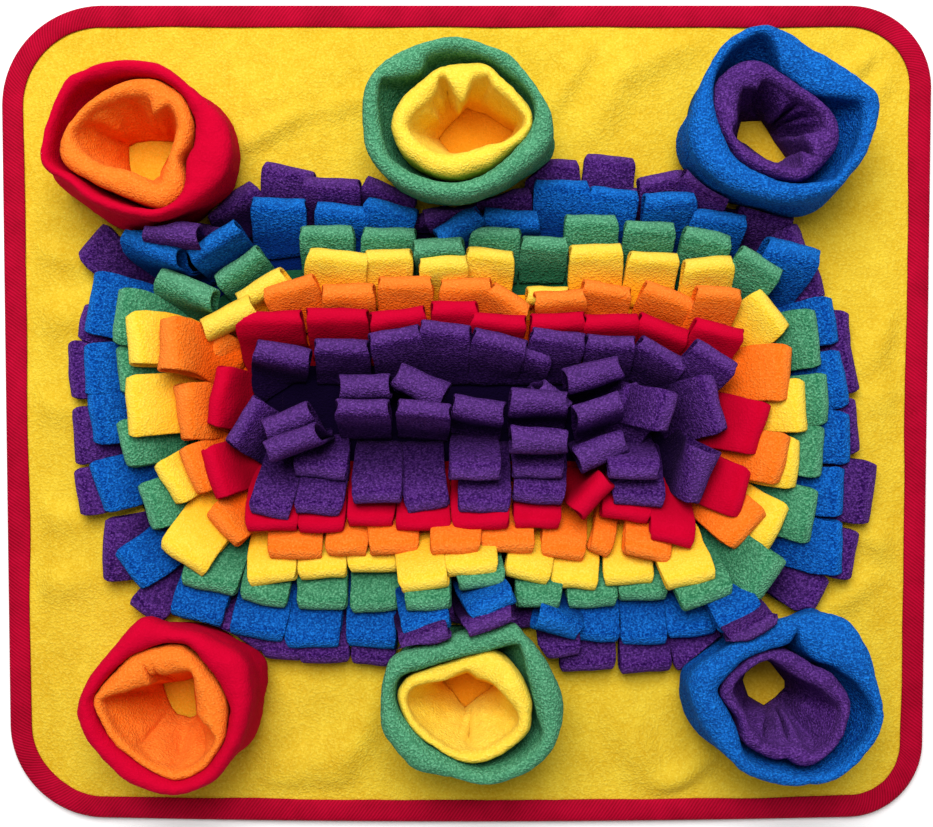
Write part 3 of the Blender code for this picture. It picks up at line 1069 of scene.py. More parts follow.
@dataclass
class Binding:
    """The twill tape folded round the panel's edge.

    Attributes:
        cover: How far it reaches in from the edge on each face.
        stations: Steps along the edge.
        girth: Its length.
    """

    cover: float = 0.0118
    stations: int = 760
    girth: float = 1.80

    def edge(self) -> tuple[np.ndarray, np.ndarray]:
        """The mat's edge in even steps.

        Returns:
            The points, with the first again at the end, and how far along the edge each is.
        """
        square = square_ring(self.stations * 8)
        fine = bound_edge(square[:, 0], square[:, 1], 0.0)
        steps = np.linalg.norm(np.roll(fine, -1, axis=0) - fine, axis=1)
        along = np.concatenate([[0.0], np.cumsum(steps)])
        at = np.linspace(0, along[-1], self.stations + 1)
        return sampled(np.concatenate([fine, fine[:1]]), along, at), at

    def section(self) -> tuple[np.ndarray, float]:
        """The tape's section, once round it from its under side.

        Returns:
            How far in from the edge and how high each of its points is, and the height of its top.
        """
        cover, thick = self.cover, TAPE_THICK
        top = PANEL_THICK + Panel.lifted + 2 * thick + 0.0002
        section = np.array([
            (cover, 0.0), (cover * 0.6, 0.0), (0.0016, 0.0), (0.0005, 0.0006), (0.0, 0.0018),
            (0.0001, top - 0.0012), (0.0010, top - 0.0002), (0.0026, top + 0.0002),
            (cover * 0.4, top + 0.0003), (cover * 0.62, top + 0.0001), (cover * 0.82, top - 0.0003),
            (cover * 0.95, top - 0.0008), (cover, top - 0.0013), (cover * 0.97, top - 0.0016),
            (cover * 0.6, top - thick - 0.0001), (0.0010, top - thick - 0.0001), (0.0010, thick),
            (cover * 0.6, thick), (cover, thick), (cover, 0.0)])
        return section, top

    def build(self) -> None:
        """Builds the tape."""
        line, at = self.edge()
        section, top = self.section()
        run = unit(np.roll(line[:-1], -1, axis=0) - np.roll(line[:-1], 1, axis=0))
        run = np.concatenate([run, run[:1]])
        inward = np.stack([-run[:, 1], run[:, 0]], axis=-1)
        reach = np.concatenate([[0.0], np.cumsum(np.linalg.norm(np.diff(section, axis=0), axis=1))])
        flat = np.concatenate([line, np.zeros((len(line), 1))], axis=-1)
        flat[-1] = flat[0]
        on_top = smooth_step(section[:, 0], 0.0, 0.5 * self.cover) * (section[:, 1] > 0.5 * top)
        pucker = 0.00045 * rough(flat, 0.0075, 2.0) + 0.00035 * rough(flat, 0.022, 5.0)
        high = section[:, 1] + pucker[:, None] * on_top[None, :]
        inset = section[:, 0] + (0.0008 * rough(flat, 0.045, 9.0))[:, None] * on_top[None, :]
        level = line[:, None] + inward[:, None] * inset[..., None]
        sheet = Sheet()
        sheet.bend(np.concatenate([level, high[..., None]], axis=-1),
                   lay=np.stack(np.broadcast_arrays(at[:, None], reach[None, :]), axis=-1))
        sheet.close(fill=False)
        piece = sheet.finish("edge_binding", Cloth.TAPE.material())
        dress(piece, Cloth.TAPE, "binding_tape")


Outline = Sequence[tuple[float, float]]


@dataclass(frozen=True)
class Pleat:
    """A fold that runs down a cup's lining.

    Attributes:
        angle: Degrees anticlockwise from the mat's right-hand side, about the cup's middle.
        width: Its width in degrees.
        rise: How far it stands out of the lining, in millimetres; less than 0 is a trough.
    """

    angle: float
    width: float
    rise: float


class Layer(Enum):
    """The two sheets of a cup: each one's name, the size it was cut to and how it is held."""

    WALL = ("wall", (0.26, 0.105), "folded")
    LINING = ("lining", (0.24, 0.062), "gathered")


@dataclass
class Cup:
    """A cup: a fleece wall rolled over at its rim, and a lining gathered to a hole at its foot.

    Its outlines are in pixels, each at its own height.

    Attributes:
        name: Its name in its nodes.
        outer: The wall's cloth.
        inner: The lining's cloth.
        x: Its middle on the mat, in metres.
        y: Its middle on the mat, in metres.
        turn: Turn of its foot, in degrees.
        half_x: Half the foot's width.
        half_y: Half the foot's depth.
        belly: The wall's outermost line, half way up.
        rim: The outer edge of the rim's roll.
        roll: The inner edge of the rim's roll.
        lip: The outer edge of the lining's roll.
        throat: The inner edge of the lining's roll.
        hole: The lining's hole.
        pleats: The lining's folds.
        seed: Seed of its unevenness.
        sag: Share of its height that its far side is pressed down by.
        top: Height of the rim's roll.
        belly_height: Height of the wall's outermost line.
        rim_height: Height of both edges of the rim's roll.
        lip_height: Height of both edges of the lining's roll.
        lip_top: Height of the lining's roll.
        lining_foot: Height of the lining's hidden outer edge.
        rim_least: Least width of the rim's roll.
        lip_least: Least width of the lining's roll.
        belly_most: Most that its belly stands out past its rim.
        clear: How far its wall keeps the loops round it away.
        stations: Steps round it.
        squareness: Power of its foot's rounded square.
        wall_rows: Rows up to its belly, on to its rim, over its roll and down behind the lining.
        lining_rows: Rows up to the lip, over its roll and down to the hole.
        known: The radii of its lines, once they are worked out.
    """

    name: str
    outer: Cloth
    inner: Cloth
    x: float
    y: float
    turn: float
    half_x: float
    half_y: float
    belly: Outline
    rim: Outline
    roll: Outline
    lip: Outline
    throat: Outline
    hole: Outline
    pleats: Sequence[Pleat] = ()
    seed: float = 1.0
    sag: float = 0.0
    top: float = 0.0582
    belly_height: float = 0.0220
    rim_height: float = 0.0500
    lip_height: float = 0.0480
    lip_top: float = 0.0545
    lining_foot: float = 0.030
    rim_least: float = 0.0048
    lip_least: float = 0.0036
    belly_most: float = 0.0045
    clear: float = 0.0022
    stations: int = 200
    squareness: float = 2.6
    wall_rows: tuple[int, int, int, int] = (7, 8, 15, 9)
    lining_rows: tuple[int, int, int] = (5, 12, 25)
    known: dict[str, np.ndarray] = field(default_factory=dict, init=False)

    def angles(self) -> np.ndarray:
        """Returns the angles of the cup's stations."""
        return np.linspace(-math.pi, math.pi, self.stations, endpoint=False)

    def radii(self, outline: Outline, height: float, smooth: bool = True) -> np.ndarray:
        """Turns an outline in pixels into radii about the cup's middle.

        Args:
            outline: The outline's knots.
            height: Its height.
            smooth: Whether it is a smooth curve, or runs straight between its knots.

        Returns:
            The radius at each station.
        """
        knots = np.array([VIEW.place(across, down, height)[:2] for across, down in outline])
        knots = knots - [self.x, self.y]
        shares = np.linspace(0, 1, 1200, endpoint=False)
        if smooth:
            line = spline(knots, shares)
        else:
            loop = np.concatenate([knots, knots[:1]])
            line = sampled(loop, np.arange(len(loop)), shares * len(knots))
        angle = np.arctan2(line[:, 1], line[:, 0])
        order = np.argsort(angle)
        reach = np.linalg.norm(line, axis=1)[order]
        made = np.interp(self.angles(), angle[order], reach, period=2 * math.pi)
        return (made + np.roll(made, 1) + np.roll(made, -1)) / 3

    def foot(self) -> np.ndarray:
        """The foot of the wall, a rounded square.

        Returns:
            Its radius at each station.
        """
        angle = self.angles() - math.radians(self.turn)
        power = self.squareness
        return (np.abs(np.cos(angle) / self.half_x) ** power
                + np.abs(np.sin(angle) / self.half_y) ** power) ** (-1 / power)

    def lines(self) -> dict[str, np.ndarray]:
        """The cup's lines from its foot to its hole, worked out once.

        Returns:
            The radius of each named line at each station.
        """
        if not self.known:
            lip = self.radii(self.lip, self.lip_height)
            roll = np.maximum(self.radii(self.roll, self.rim_height), lip + 0.0002)
            rim = np.maximum(self.radii(self.rim, self.rim_height), roll + self.rim_least)
            foot = self.foot()
            seen = self.radii(self.belly, self.belly_height)
            beyond = smooth_step(seen - self.radii(self.rim, self.belly_height), 0.0004, 0.0030)
            hidden = 0.4 * foot + 0.6 * np.minimum(rim, self.radii(self.rim, self.belly_height))
            belly = hidden + (np.minimum(seen, rim + self.belly_most) - hidden) * beyond
            for _ in range(4):
                belly = (np.roll(belly, -1) + 2 * belly + np.roll(belly, 1)) / 4
            throat = np.minimum(self.radii(self.throat, self.lip_height), lip - self.lip_least)
            hole = self.radii(self.hole, PANEL_TOP + 0.002, False)
            self.known.update(foot=foot, belly=belly, rim=rim, roll=roll, lip=lip, throat=throat,
                              hole=hole)
        return self.known

    def pressed(self, points: np.ndarray) -> np.ndarray:
        """Returns the cup's height at each point, over its height before its far side was pressed."""
        angle = np.degrees(np.arctan2(points[..., 1] - self.y, points[..., 0] - self.x))
        return 1 - self.sag * np.exp(-((angle - 90) / 42) ** 4)

    def lower(self, points: np.ndarray) -> np.ndarray:
        """Presses the cup down, with each point still seen at the same place from above.

        Args:
            points: Points on the cup.

        Returns:
            The points moved.
        """
        height = PANEL_TOP + (points[..., 2] - PANEL_TOP) * self.pressed(points)
        scale = (VIEW.eye - height) / (VIEW.eye - points[..., 2])
        return np.concatenate([points[..., :2] * scale[..., None], height[..., None]], axis=-1)

    def push(self, points: np.ndarray) -> np.ndarray:
        """Moves points out of the cup's wall.

        Args:
            points: Points of cloth round the cup.

        Returns:
            The points, each outside the wall.
        """
        lines = self.lines()
        level = points[..., :2] - [self.x, self.y]
        angle = np.arctan2(level[..., 1], level[..., 0])
        radius = np.linalg.norm(level, axis=-1)
        foot, belly, rim = (np.interp(angle, self.angles(), lines[key], period=2 * math.pi)
                            for key in ("foot", "belly", "rim"))
        stand = PANEL_TOP + (points[..., 2] - PANEL_TOP) / self.pressed(points)
        low = np.clip((stand - PANEL_TOP) / (self.belly_height - PANEL_TOP), 0, 1)
        high = np.clip((stand - self.belly_height) / (self.rim_height - self.belly_height), 0, 1)
        wall = foot + (belly - foot) * low + (rim - belly) * high + self.clear
        below = 1 - smooth_step(stand, self.top - 0.0020, self.top + 0.0040)
        scale = 1 + (np.maximum(wall / np.maximum(radius, 1e-4), 1.0) - 1) * below
        moved = points.copy()
        moved[..., :2] = level * scale[..., None] + [self.x, self.y]
        return moved

    def sweep(self, rows: Sequence[tuple[np.ndarray, Any]]) -> np.ndarray:
        """Turns rows of radii and heights into points.

        Args:
            rows: The radii and the height of each row down the cup.

        Returns:
            The points, with the first column repeated at the end.
        """
        angle = self.angles()
        points = np.stack([
            np.stack([self.x + radii * np.cos(angle), self.y + radii * np.sin(angle),
                      np.broadcast_to(height, radii.shape)], axis=-1)
            for radii, height in rows])
        return np.concatenate([points, points[:, :1]], axis=1)

    def over(self, outer: np.ndarray, inner: np.ndarray, low: float, high: float,
             count: int) -> list[tuple[np.ndarray, Any]]:
        """Rows over a roll.

        Args:
            outer: Radii of its outer edge.
            inner: Radii of its inner edge.
            low: Height of both edges.
            high: Height of its top.
            count: How many rows.

        Returns:
            The rows after the outer edge, up to the inner edge.
        """
        middle, half = (outer + inner) / 2, (outer - inner) / 2
        turns = np.linspace(0, math.pi, count + 1)[1:]
        return [(middle + half * math.cos(turn), low + (high - low) * math.sin(turn) ** 0.8)
                for turn in turns]

    def build_wall(self) -> None:
        """Builds the wall: up from its foot, over its rolled rim and down behind the lining."""
        lines = self.lines()
        half = FLEECE / 2
        foot, belly = lines["foot"], lines["belly"] - half
        outer, inner, behind = lines["rim"] - half, lines["roll"] + 0.0003, lines["lip"] - 0.0020
        base = PANEL_TOP + half
        low, side, roll, back = self.wall_rows
        rows = [(foot + (belly - foot) * math.sin(share * math.pi / 2),
                 base + share * (self.belly_height - base)) for share in np.linspace(0, 1, low)]
        rows += [(belly + (outer - belly) * smooth_step(share, -0.1, 1.1),
                  self.belly_height + share * (self.rim_height - self.belly_height))
                 for share in np.linspace(0, 1, side + 1)[1:]]
        rows += self.over(outer, inner, self.rim_height, self.top - half, roll)
        rows += [(inner + (behind - inner) * smooth_step(share, 0.0, 0.8),
                  self.rim_height - share * (self.rim_height - 0.010))
                 for share in np.linspace(0, 1, back + 1)[1:]]
        # Painted shade at the wall's foot and behind the lining, and a painted highlight on the rim's
        # roll
        painted_shade = np.concatenate([np.linspace(0.45, 0.0, low), np.zeros(side + roll),
                                 np.linspace(0.2, 0.9, back)])[:, None]
        painted_light = np.concatenate([np.zeros(low + side - 2), np.full(roll, 0.5),
                               np.zeros(2 + back)])[:, None]
        self.finish(self.sweep(rows), painted_light, painted_shade, Layer.WALL, self.outer)

    def soften(self, points: np.ndarray) -> np.ndarray:
        """Gives a sheet soft dents and the unevenness of its nap.

        Args:
            points: Points on the sheet, with the first column repeated at the end.

        Returns:
            The points moved.
        """
        moved = points
        for pitch, depth in ((0.026, 0.0013), (0.010, 0.0006), (0.0032, 0.00032)):
            shift = np.stack([rough(points, pitch, self.seed + 5 * k) for k in range(3)], axis=-1)
            moved = moved + shift * depth * smooth_step(points[..., 2], PANEL_TOP, 0.012)[..., None]
        moved[:, -1] = moved[:, 0]
        return moved

    def build_lining(self) -> None:
        """Builds the lining: over its lip and down the funnel to the hole."""
        lines = self.lines()
        lip, throat, hole = lines["lip"] - FLEECE / 2, lines["throat"], lines["hole"]
        back, roll, fall = self.lining_rows
        rows = [(lip - 0.0010 * (1 - share),
                 self.lining_foot + share * (self.lip_height - self.lining_foot))
                for share in np.linspace(0, 1, back)]
        rows += self.over(lip, throat, self.lip_height, self.lip_top, roll)
        crest = np.zeros_like(lip)
        for pleat in self.pleats:
            away = (np.degrees(self.angles()) - pleat.angle + 180) % 360 - 180
            crest = crest + pleat.rise / MM * np.exp(-(away / pleat.width) ** 2)
        low = PANEL_TOP + FLEECE / 2 + 0.0006
        slope = np.hypot(throat - hole, self.lip_height - low)
        for share in np.linspace(0, 1, fall + 1)[1:]:
            stand = crest / slope * math.sin(math.pi * min(share * 1.05 + 0.06, 1.0))
            rows.append((throat + (hole - throat) * share ** 1.15 - stand * (self.lip_height - low),
                         self.lip_height + (low - self.lip_height) * share + stand * (throat - hole)))
        # Painted shade that deepens down the funnel, lighter towards the near side
        near = np.clip(-np.sin(self.angles()), 0, 1)
        near = np.append(near, near[0])[None, :]
        deep = smooth_step(np.arange(1, fall + 1) / fall, 0.30, 1.0)
        down = np.concatenate([np.zeros(back + roll), deep])[:, None]
        lit = np.concatenate([np.zeros(back + roll - 2), np.ones(2 + fall)])[:, None]
        painted_light = np.concatenate([np.linspace(0, 1, back), np.ones(roll - 2), np.linspace(0.8, 0.2, 5),
                               np.zeros(fall - 3)])[:, None]
        painted_shade = down * (0.55 - 0.55 * near)
        # Painted highlight on the lip's roll, and painted light on the funnel's near side
        painted_light = np.maximum(0.5 * painted_light, 0.75 * near * lit)
        self.finish(self.sweep(rows), painted_light, painted_shade, Layer.LINING, self.inner)

    def finish(self, points: np.ndarray, painted_light: np.ndarray, painted_shade: np.ndarray, layer: Layer,
               dye: Cloth) -> None:
        """Makes and thickens a piece of the cup, and ties it to the body.

        Args:
            points: Its points, in rows down the cup.
            painted_light: How much painted highlight and painted light each row, or each point, takes.
            painted_shade: How much painted shade each row, or each point, takes.
            layer: Whether it is the wall or the lining.
            dye: Its cloth.
        """
        part, flat, held = layer.value
        sheet = Sheet()
        shape = points.shape[:2]
        sheet.bend(self.lower(self.soften(points)), painted_light=np.broadcast_to(painted_light, shape),
                   painted_shade=np.broadcast_to(painted_shade, shape))
        sheet.close(fill=False)
        piece = sheet.finish(f"cup_{self.name}_{part}", dye.material(), outward=False)
        thicken(piece, FLEECE)
        dress(piece, dye, f"cup_{part}_{self.name}")

    def build(self) -> None:
        """Builds the wall and the lining."""
        self.build_wall()
        self.build_lining()


def rings() -> list[Fringe]:
    """The fringes, each with its loops' places in the view from above.

    Returns:
        The fringes, in the order that they lie on each other.
    """
    return [
        Fringe("fringe_purple_outer", Cloth.PURPLE, 0.1745, 0.0985, 0.080, 0.0130, 11, (
            Loop(204, 226, 350, 52, least=9), Loop(424, 214, 356, 56, least=9),
            Loop(640, 190, 0, 50, least=9), Loop(735, 212, 20, 50, least=9),
            Loop(455, 620, 184, 52, least=9), Loop(532, 624, 178, 52, least=9), Loop(92, 240, 318, 46),
            Loop(169, 227, 9, 60, roll=5.0, least=49, plunge=1.2, reach=9),
            Loop(228, 197, 322, 60, roll=4.6, plunge=1.0, reach=8), Loop(290, 168, 8, 56),
            Loop(392, 187, 17, 58, roll=4.2, plunge=0.8), Loop(331, 180, 0, 60, plunge=0.4),
            Loop(448, 207, 348, 54), Loop(503, 192, -2, 58), Loop(551, 161, -5, 58),
            Loop(610, 158, 4, 54), Loop(662, 175, -12, 52), Loop(710, 181, 24, 56),
            Loop(768, 207, 14, 58), Loop(800, 238, 62, 34), Loop(819, 283, 80, 34),
            Loop(847, 331, 95, 40), Loop(853, 366, 83, 54), Loop(855, 425, 85, 58),
            Loop(870, 493, 97, 66, roll=5.4, cone=0.8), Loop(853, 555, 95, 52), Loop(818, 598, 118, 46),
            Loop(756, 635, 153, 54, roll=3.4, least=55.6, plunge=1.0, most=57), Loop(700, 662, 168, 54),
            Loop(645, 670, 180, 54), Loop(588, 668, 175, 58), Loop(561, 654, 172, 44),
            Loop(490, 626, 162, 54, roll=3.8, least=53, plunge=0.8),
            Loop(426, 643, 160, 54, roll=3.8, least=53, plunge=0.8), Loop(372, 662, 190, 46),
            Loop(325, 660, 174, 52), Loop(282, 657, 180, 40), Loop(238, 641, 200, 56),
            Loop(145, 612, 222, 40), Loop(106, 549, 270, 66), Loop(80, 493, 259, 50),
            Loop(76, 436, 266, 60), Loop(72, 370, 270, 60), Loop(83, 322, 288, 40))),
        Fringe("fringe_blue", Cloth.BLUE, 0.1630, 0.0848, 0.070, 0.0170, 12, (
            Loop(152, 239, 27, 66, roll=4.8, plunge=1.0, reach=10, most=36),
            Loop(211, 238, 329, 62, reach=13, most=38), Loop(279, 200, 3, 58),
            Loop(343, 206, 3, 58, roll=4.2, plunge=0.4), Loop(392, 205, 15, 56),
            Loop(455, 220, 327, 52, roll=4.0, plunge=0.8), Loop(511, 212, 2, 60, roll=4.4, plunge=0.9),
            Loop(561, 182, -2, 58), Loop(615, 190, 9, 52), Loop(670, 195, -5, 56),
            Loop(720, 214, 9, 58), Loop(795, 246, 14, 60, roll=5.0, cone=0.8), Loop(833, 320, 85, 50),
            Loop(842, 378, 82, 60), Loop(847, 438, 95, 56), Loop(841, 492, 90, 52),
            Loop(840, 548, 88, 58), Loop(741, 622, 160, 50, most=38), Loop(692, 634, 173, 50, most=42),
            Loop(644, 641, 178, 48), Loop(598, 639, 182, 44),
            Loop(556, 631, 197, 52, roll=5.8, tilt=9, cone=2.0, plunge=1.0),
            Loop(493, 608, 157, 52, roll=3.6), Loop(427, 629, 167, 52, most=42),
            Loop(372, 645, 180, 52), Loop(313, 645, 181, 58), Loop(257, 636, 192, 58),
            Loop(197, 619, 191, 56), Loop(130, 571, 235, 50), Loop(99, 488, 256, 56),
            Loop(93, 418, 267, 56), Loop(87, 370, 263, 54), Loop(92, 303, 275, 66))),
        Fringe("fringe_green", Cloth.GREEN, 0.1515, 0.0711, 0.060, 0.0190, 13, (
            Loop(187, 281, 25, 66, roll=5.0, plunge=1.0), Loop(235, 263, 327, 58, reach=15),
            Loop(327, 228, 0, 56), Loop(389, 230, 5, 56), Loop(438, 242, -4, 54, roll=4.2, plunge=0.4),
            Loop(496, 230, 4, 54), Loop(545, 239, 4, 50), Loop(591, 217, 0, 56), Loop(651, 224, 2, 54),
            Loop(709, 233, 12, 52), Loop(763, 260, 29, 52), Loop(816, 337, 83, 62),
            Loop(825, 398, 82, 54), Loop(820, 452, 96, 54), Loop(812, 516, 98, 58),
            Loop(770, 580, 120, 54, roll=5.4, cone=0.6), Loop(708, 600, 164, 58),
            Loop(643, 597, 175, 52), Loop(592, 605, 178, 52), Loop(538, 604, 183, 48),
            Loop(482, 583, 172, 50), Loop(428, 606, 178, 48), Loop(376, 609, 180, 52),
            Loop(322, 607, 181, 52), Loop(263, 602, 190, 50), Loop(208, 588, 193, 60),
            Loop(148, 507, 252, 52), Loop(124, 444, 259, 52), Loop(120, 370, 262, 50),
            Loop(118, 316, 276, 60))),
        Fringe("fringe_yellow", Cloth.YELLOW, 0.1400, 0.0574, 0.050, 0.0210, 14, (
            Loop(225, 313, 332, 60, roll=5.6, least=30, plunge=0.4, reach=16),
            Loop(258, 283, 333, 58, roll=4.4, plunge=0.9), Loop(388, 252, -2, 50),
            Loop(338, 253, 7, 66, tilt=2.5), Loop(443, 259, -3, 52), Loop(491, 251, 4, 50),
            Loop(548, 291, 0, 46), Loop(597, 246, 1, 56), Loop(655, 254, 8, 54), Loop(709, 260, -4, 54),
            Loop(773, 308, 48, 54), Loop(803, 406, 91, 56), Loop(795, 464, 98, 54),
            Loop(777, 529, 118, 54), Loop(691, 582, 165, 54), Loop(629, 582, 176, 52),
            Loop(574, 586, 184, 50), Loop(526, 578, 193, 48), Loop(472, 571, 176, 56, most=36),
            Loop(425, 586, 168, 52), Loop(373, 570, 177, 52), Loop(323, 576, 177, 50),
            Loop(273, 581, 177, 52), Loop(183, 560, 210, 58), Loop(167, 485, 242, 50),
            Loop(129, 406, 265, 64), Loop(130, 340, 258, 56, roll=4.8, plunge=0.5, cone=0.8))),
        Fringe("fringe_orange", Cloth.ORANGE, 0.1285, 0.0437, 0.040, 0.0230, 15, (
            Loop(206, 350, 302, 56, roll=3.0, least=14), Loop(288, 283, 345, 58), Loop(348, 287, 0, 56),
            Loop(405, 279, 0, 58), Loop(466, 281, 2, 54), Loop(512, 296, 28, 48),
            Loop(560, 294, -4, 54), Loop(608, 286, 7, 52), Loop(671, 293, 19, 58),
            Loop(719, 290, 2, 50), Loop(787, 374, 96, 60), Loop(782, 460, 101, 54),
            Loop(749, 531, 128, 54), Loop(646, 556, 190, 50), Loop(599, 552, 195, 24),
            Loop(562, 556, 188, 48), Loop(507, 549, 182, 56), Loop(455, 550, 182, 52),
            Loop(394, 551, 178, 52), Loop(347, 553, 182, 44), Loop(296, 556, 178, 58),
            Loop(222, 530, 222, 48, roll=4.0, plunge=0.8), Loop(190, 472, 247, 52),
            Loop(181, 412, 268, 60, roll=5.4, cone=1.5),
            Loop(163, 344, 262, 56, roll=5.6, cone=0.65, plunge=0.5, reach=10))),
        Fringe("fringe_red", Cloth.RED, 0.1170, 0.0300, 0.0275, 0.0250, 16, (
            Loop(268, 314, 356, 70), Loop(337, 311, 0, 65), Loop(397, 312, -6, 59),
            Loop(454, 304, -2, 49), Loop(499, 317, 3, 57), Loop(558, 316, -1, 58),
            Loop(612, 317, 1, 58), Loop(666, 325, 22, 56), Loop(720, 326, 15, 54),
            Loop(761, 430, 107, 58), Loop(742, 494, 108, 54), Loop(671, 541, 192, 46),
            Loop(625, 517, 188, 52), Loop(596, 499, 132, 49, roll=4.8, least=38, plunge=1.0, reach=14),
            Loop(537, 525, 183, 50), Loop(481, 526, 177, 60), Loop(423, 528, 180, 57),
            Loop(371, 523, 181, 50), Loop(322, 529, 180, 48), Loop(272, 528, 180, 56),
            Loop(211, 474, 250, 56, roll=4.4, plunge=0.7), Loop(215, 395, 280, 64))),
        Fringe("fringe_purple_inner", Cloth.PURPLE, 0.1055, 0.0163, 0.015, 0.0280, 17, (
            Loop(532, 350, 8, 46, least=20, most=22), Loop(648, 400, 70, 50, least=20),
            Loop(283, 348, 10, 60, roll=5.0, plunge=0.9), Loop(341, 343, 0, 58),
            Loop(394, 332, -10, 56), Loop(446, 325, 5, 54), Loop(501, 337, 13, 58),
            Loop(559, 334, 8, 58), Loop(612, 339, 4, 52), Loop(665, 351, 30, 56),
            Loop(717, 354, 28, 52), Loop(717, 402, 73, 64),
            Loop(706, 478, 101, 60, roll=6.4, cone=0.35, plunge=1.2, reach=9), Loop(638, 502, 181, 56),
            Loop(538, 500, 188, 54), Loop(484, 509, 182, 54), Loop(427, 507, 173, 46),
            Loop(377, 500, 180, 52, least=33), Loop(318, 512, 187, 50), Loop(270, 514, 190, 44),
            Loop(241, 420, 297, 56, plunge=0.5),
            Loop(285, 417, 335, 54, roll=4.6, least=40, plunge=1.0),
            Loop(290, 440, 340, 60, roll=5.4, least=42, plunge=1.2)), band=0.0150),
        Fringe("fringe_centre_far", Cloth.PURPLE, 0.100, 0.0076, 0.0, 0.0380, 18, (
            Loop(669, 412, 103, 44, least=38, reach=30), Loop(556, 396, 40, 40, least=30),
            Loop(364, 383, 0, 56, roll=5.4, plunge=1.0),
            Loop(421, 382, 25, 58, roll=6.4, plunge=1.1, cone=1.25, tilt=6),
            Loop(594, 369, -13, 62, roll=5.8, plunge=1.2, cone=0.75, tilt=-5)), band=0.0125),
        Fringe("fringe_centre_near", Cloth.PURPLE, 0.100, -0.0125, 0.0, 0.0380, 19, (
            Loop(320, 474, 184, 56, least=20), Loop(362, 405, 0, 57, least=42, plunge=-0.6, reach=20),
            Loop(424, 407, 5, 57, least=42, plunge=-0.6, reach=20), Loop(475, 475, 181, 54),
            Loop(538, 474, 181, 54, least=30), Loop(479, 405, 9, 56, roll=5.2, plunge=0.8),
            Loop(540, 396, 5, 62, roll=6.2, plunge=0.8, cone=0.75, tilt=-3),
            Loop(540, 443, 182, 62, roll=6.0, plunge=1.0, cone=1.3, tilt=4),
            Loop(598, 405, -18, 52, roll=4.6, least=42),
            Loop(604, 454, 158, 56, roll=6.0, plunge=1.0, cone=1.3),
            Loop(634, 474, 182, 54)), band=0.0125),
    ]


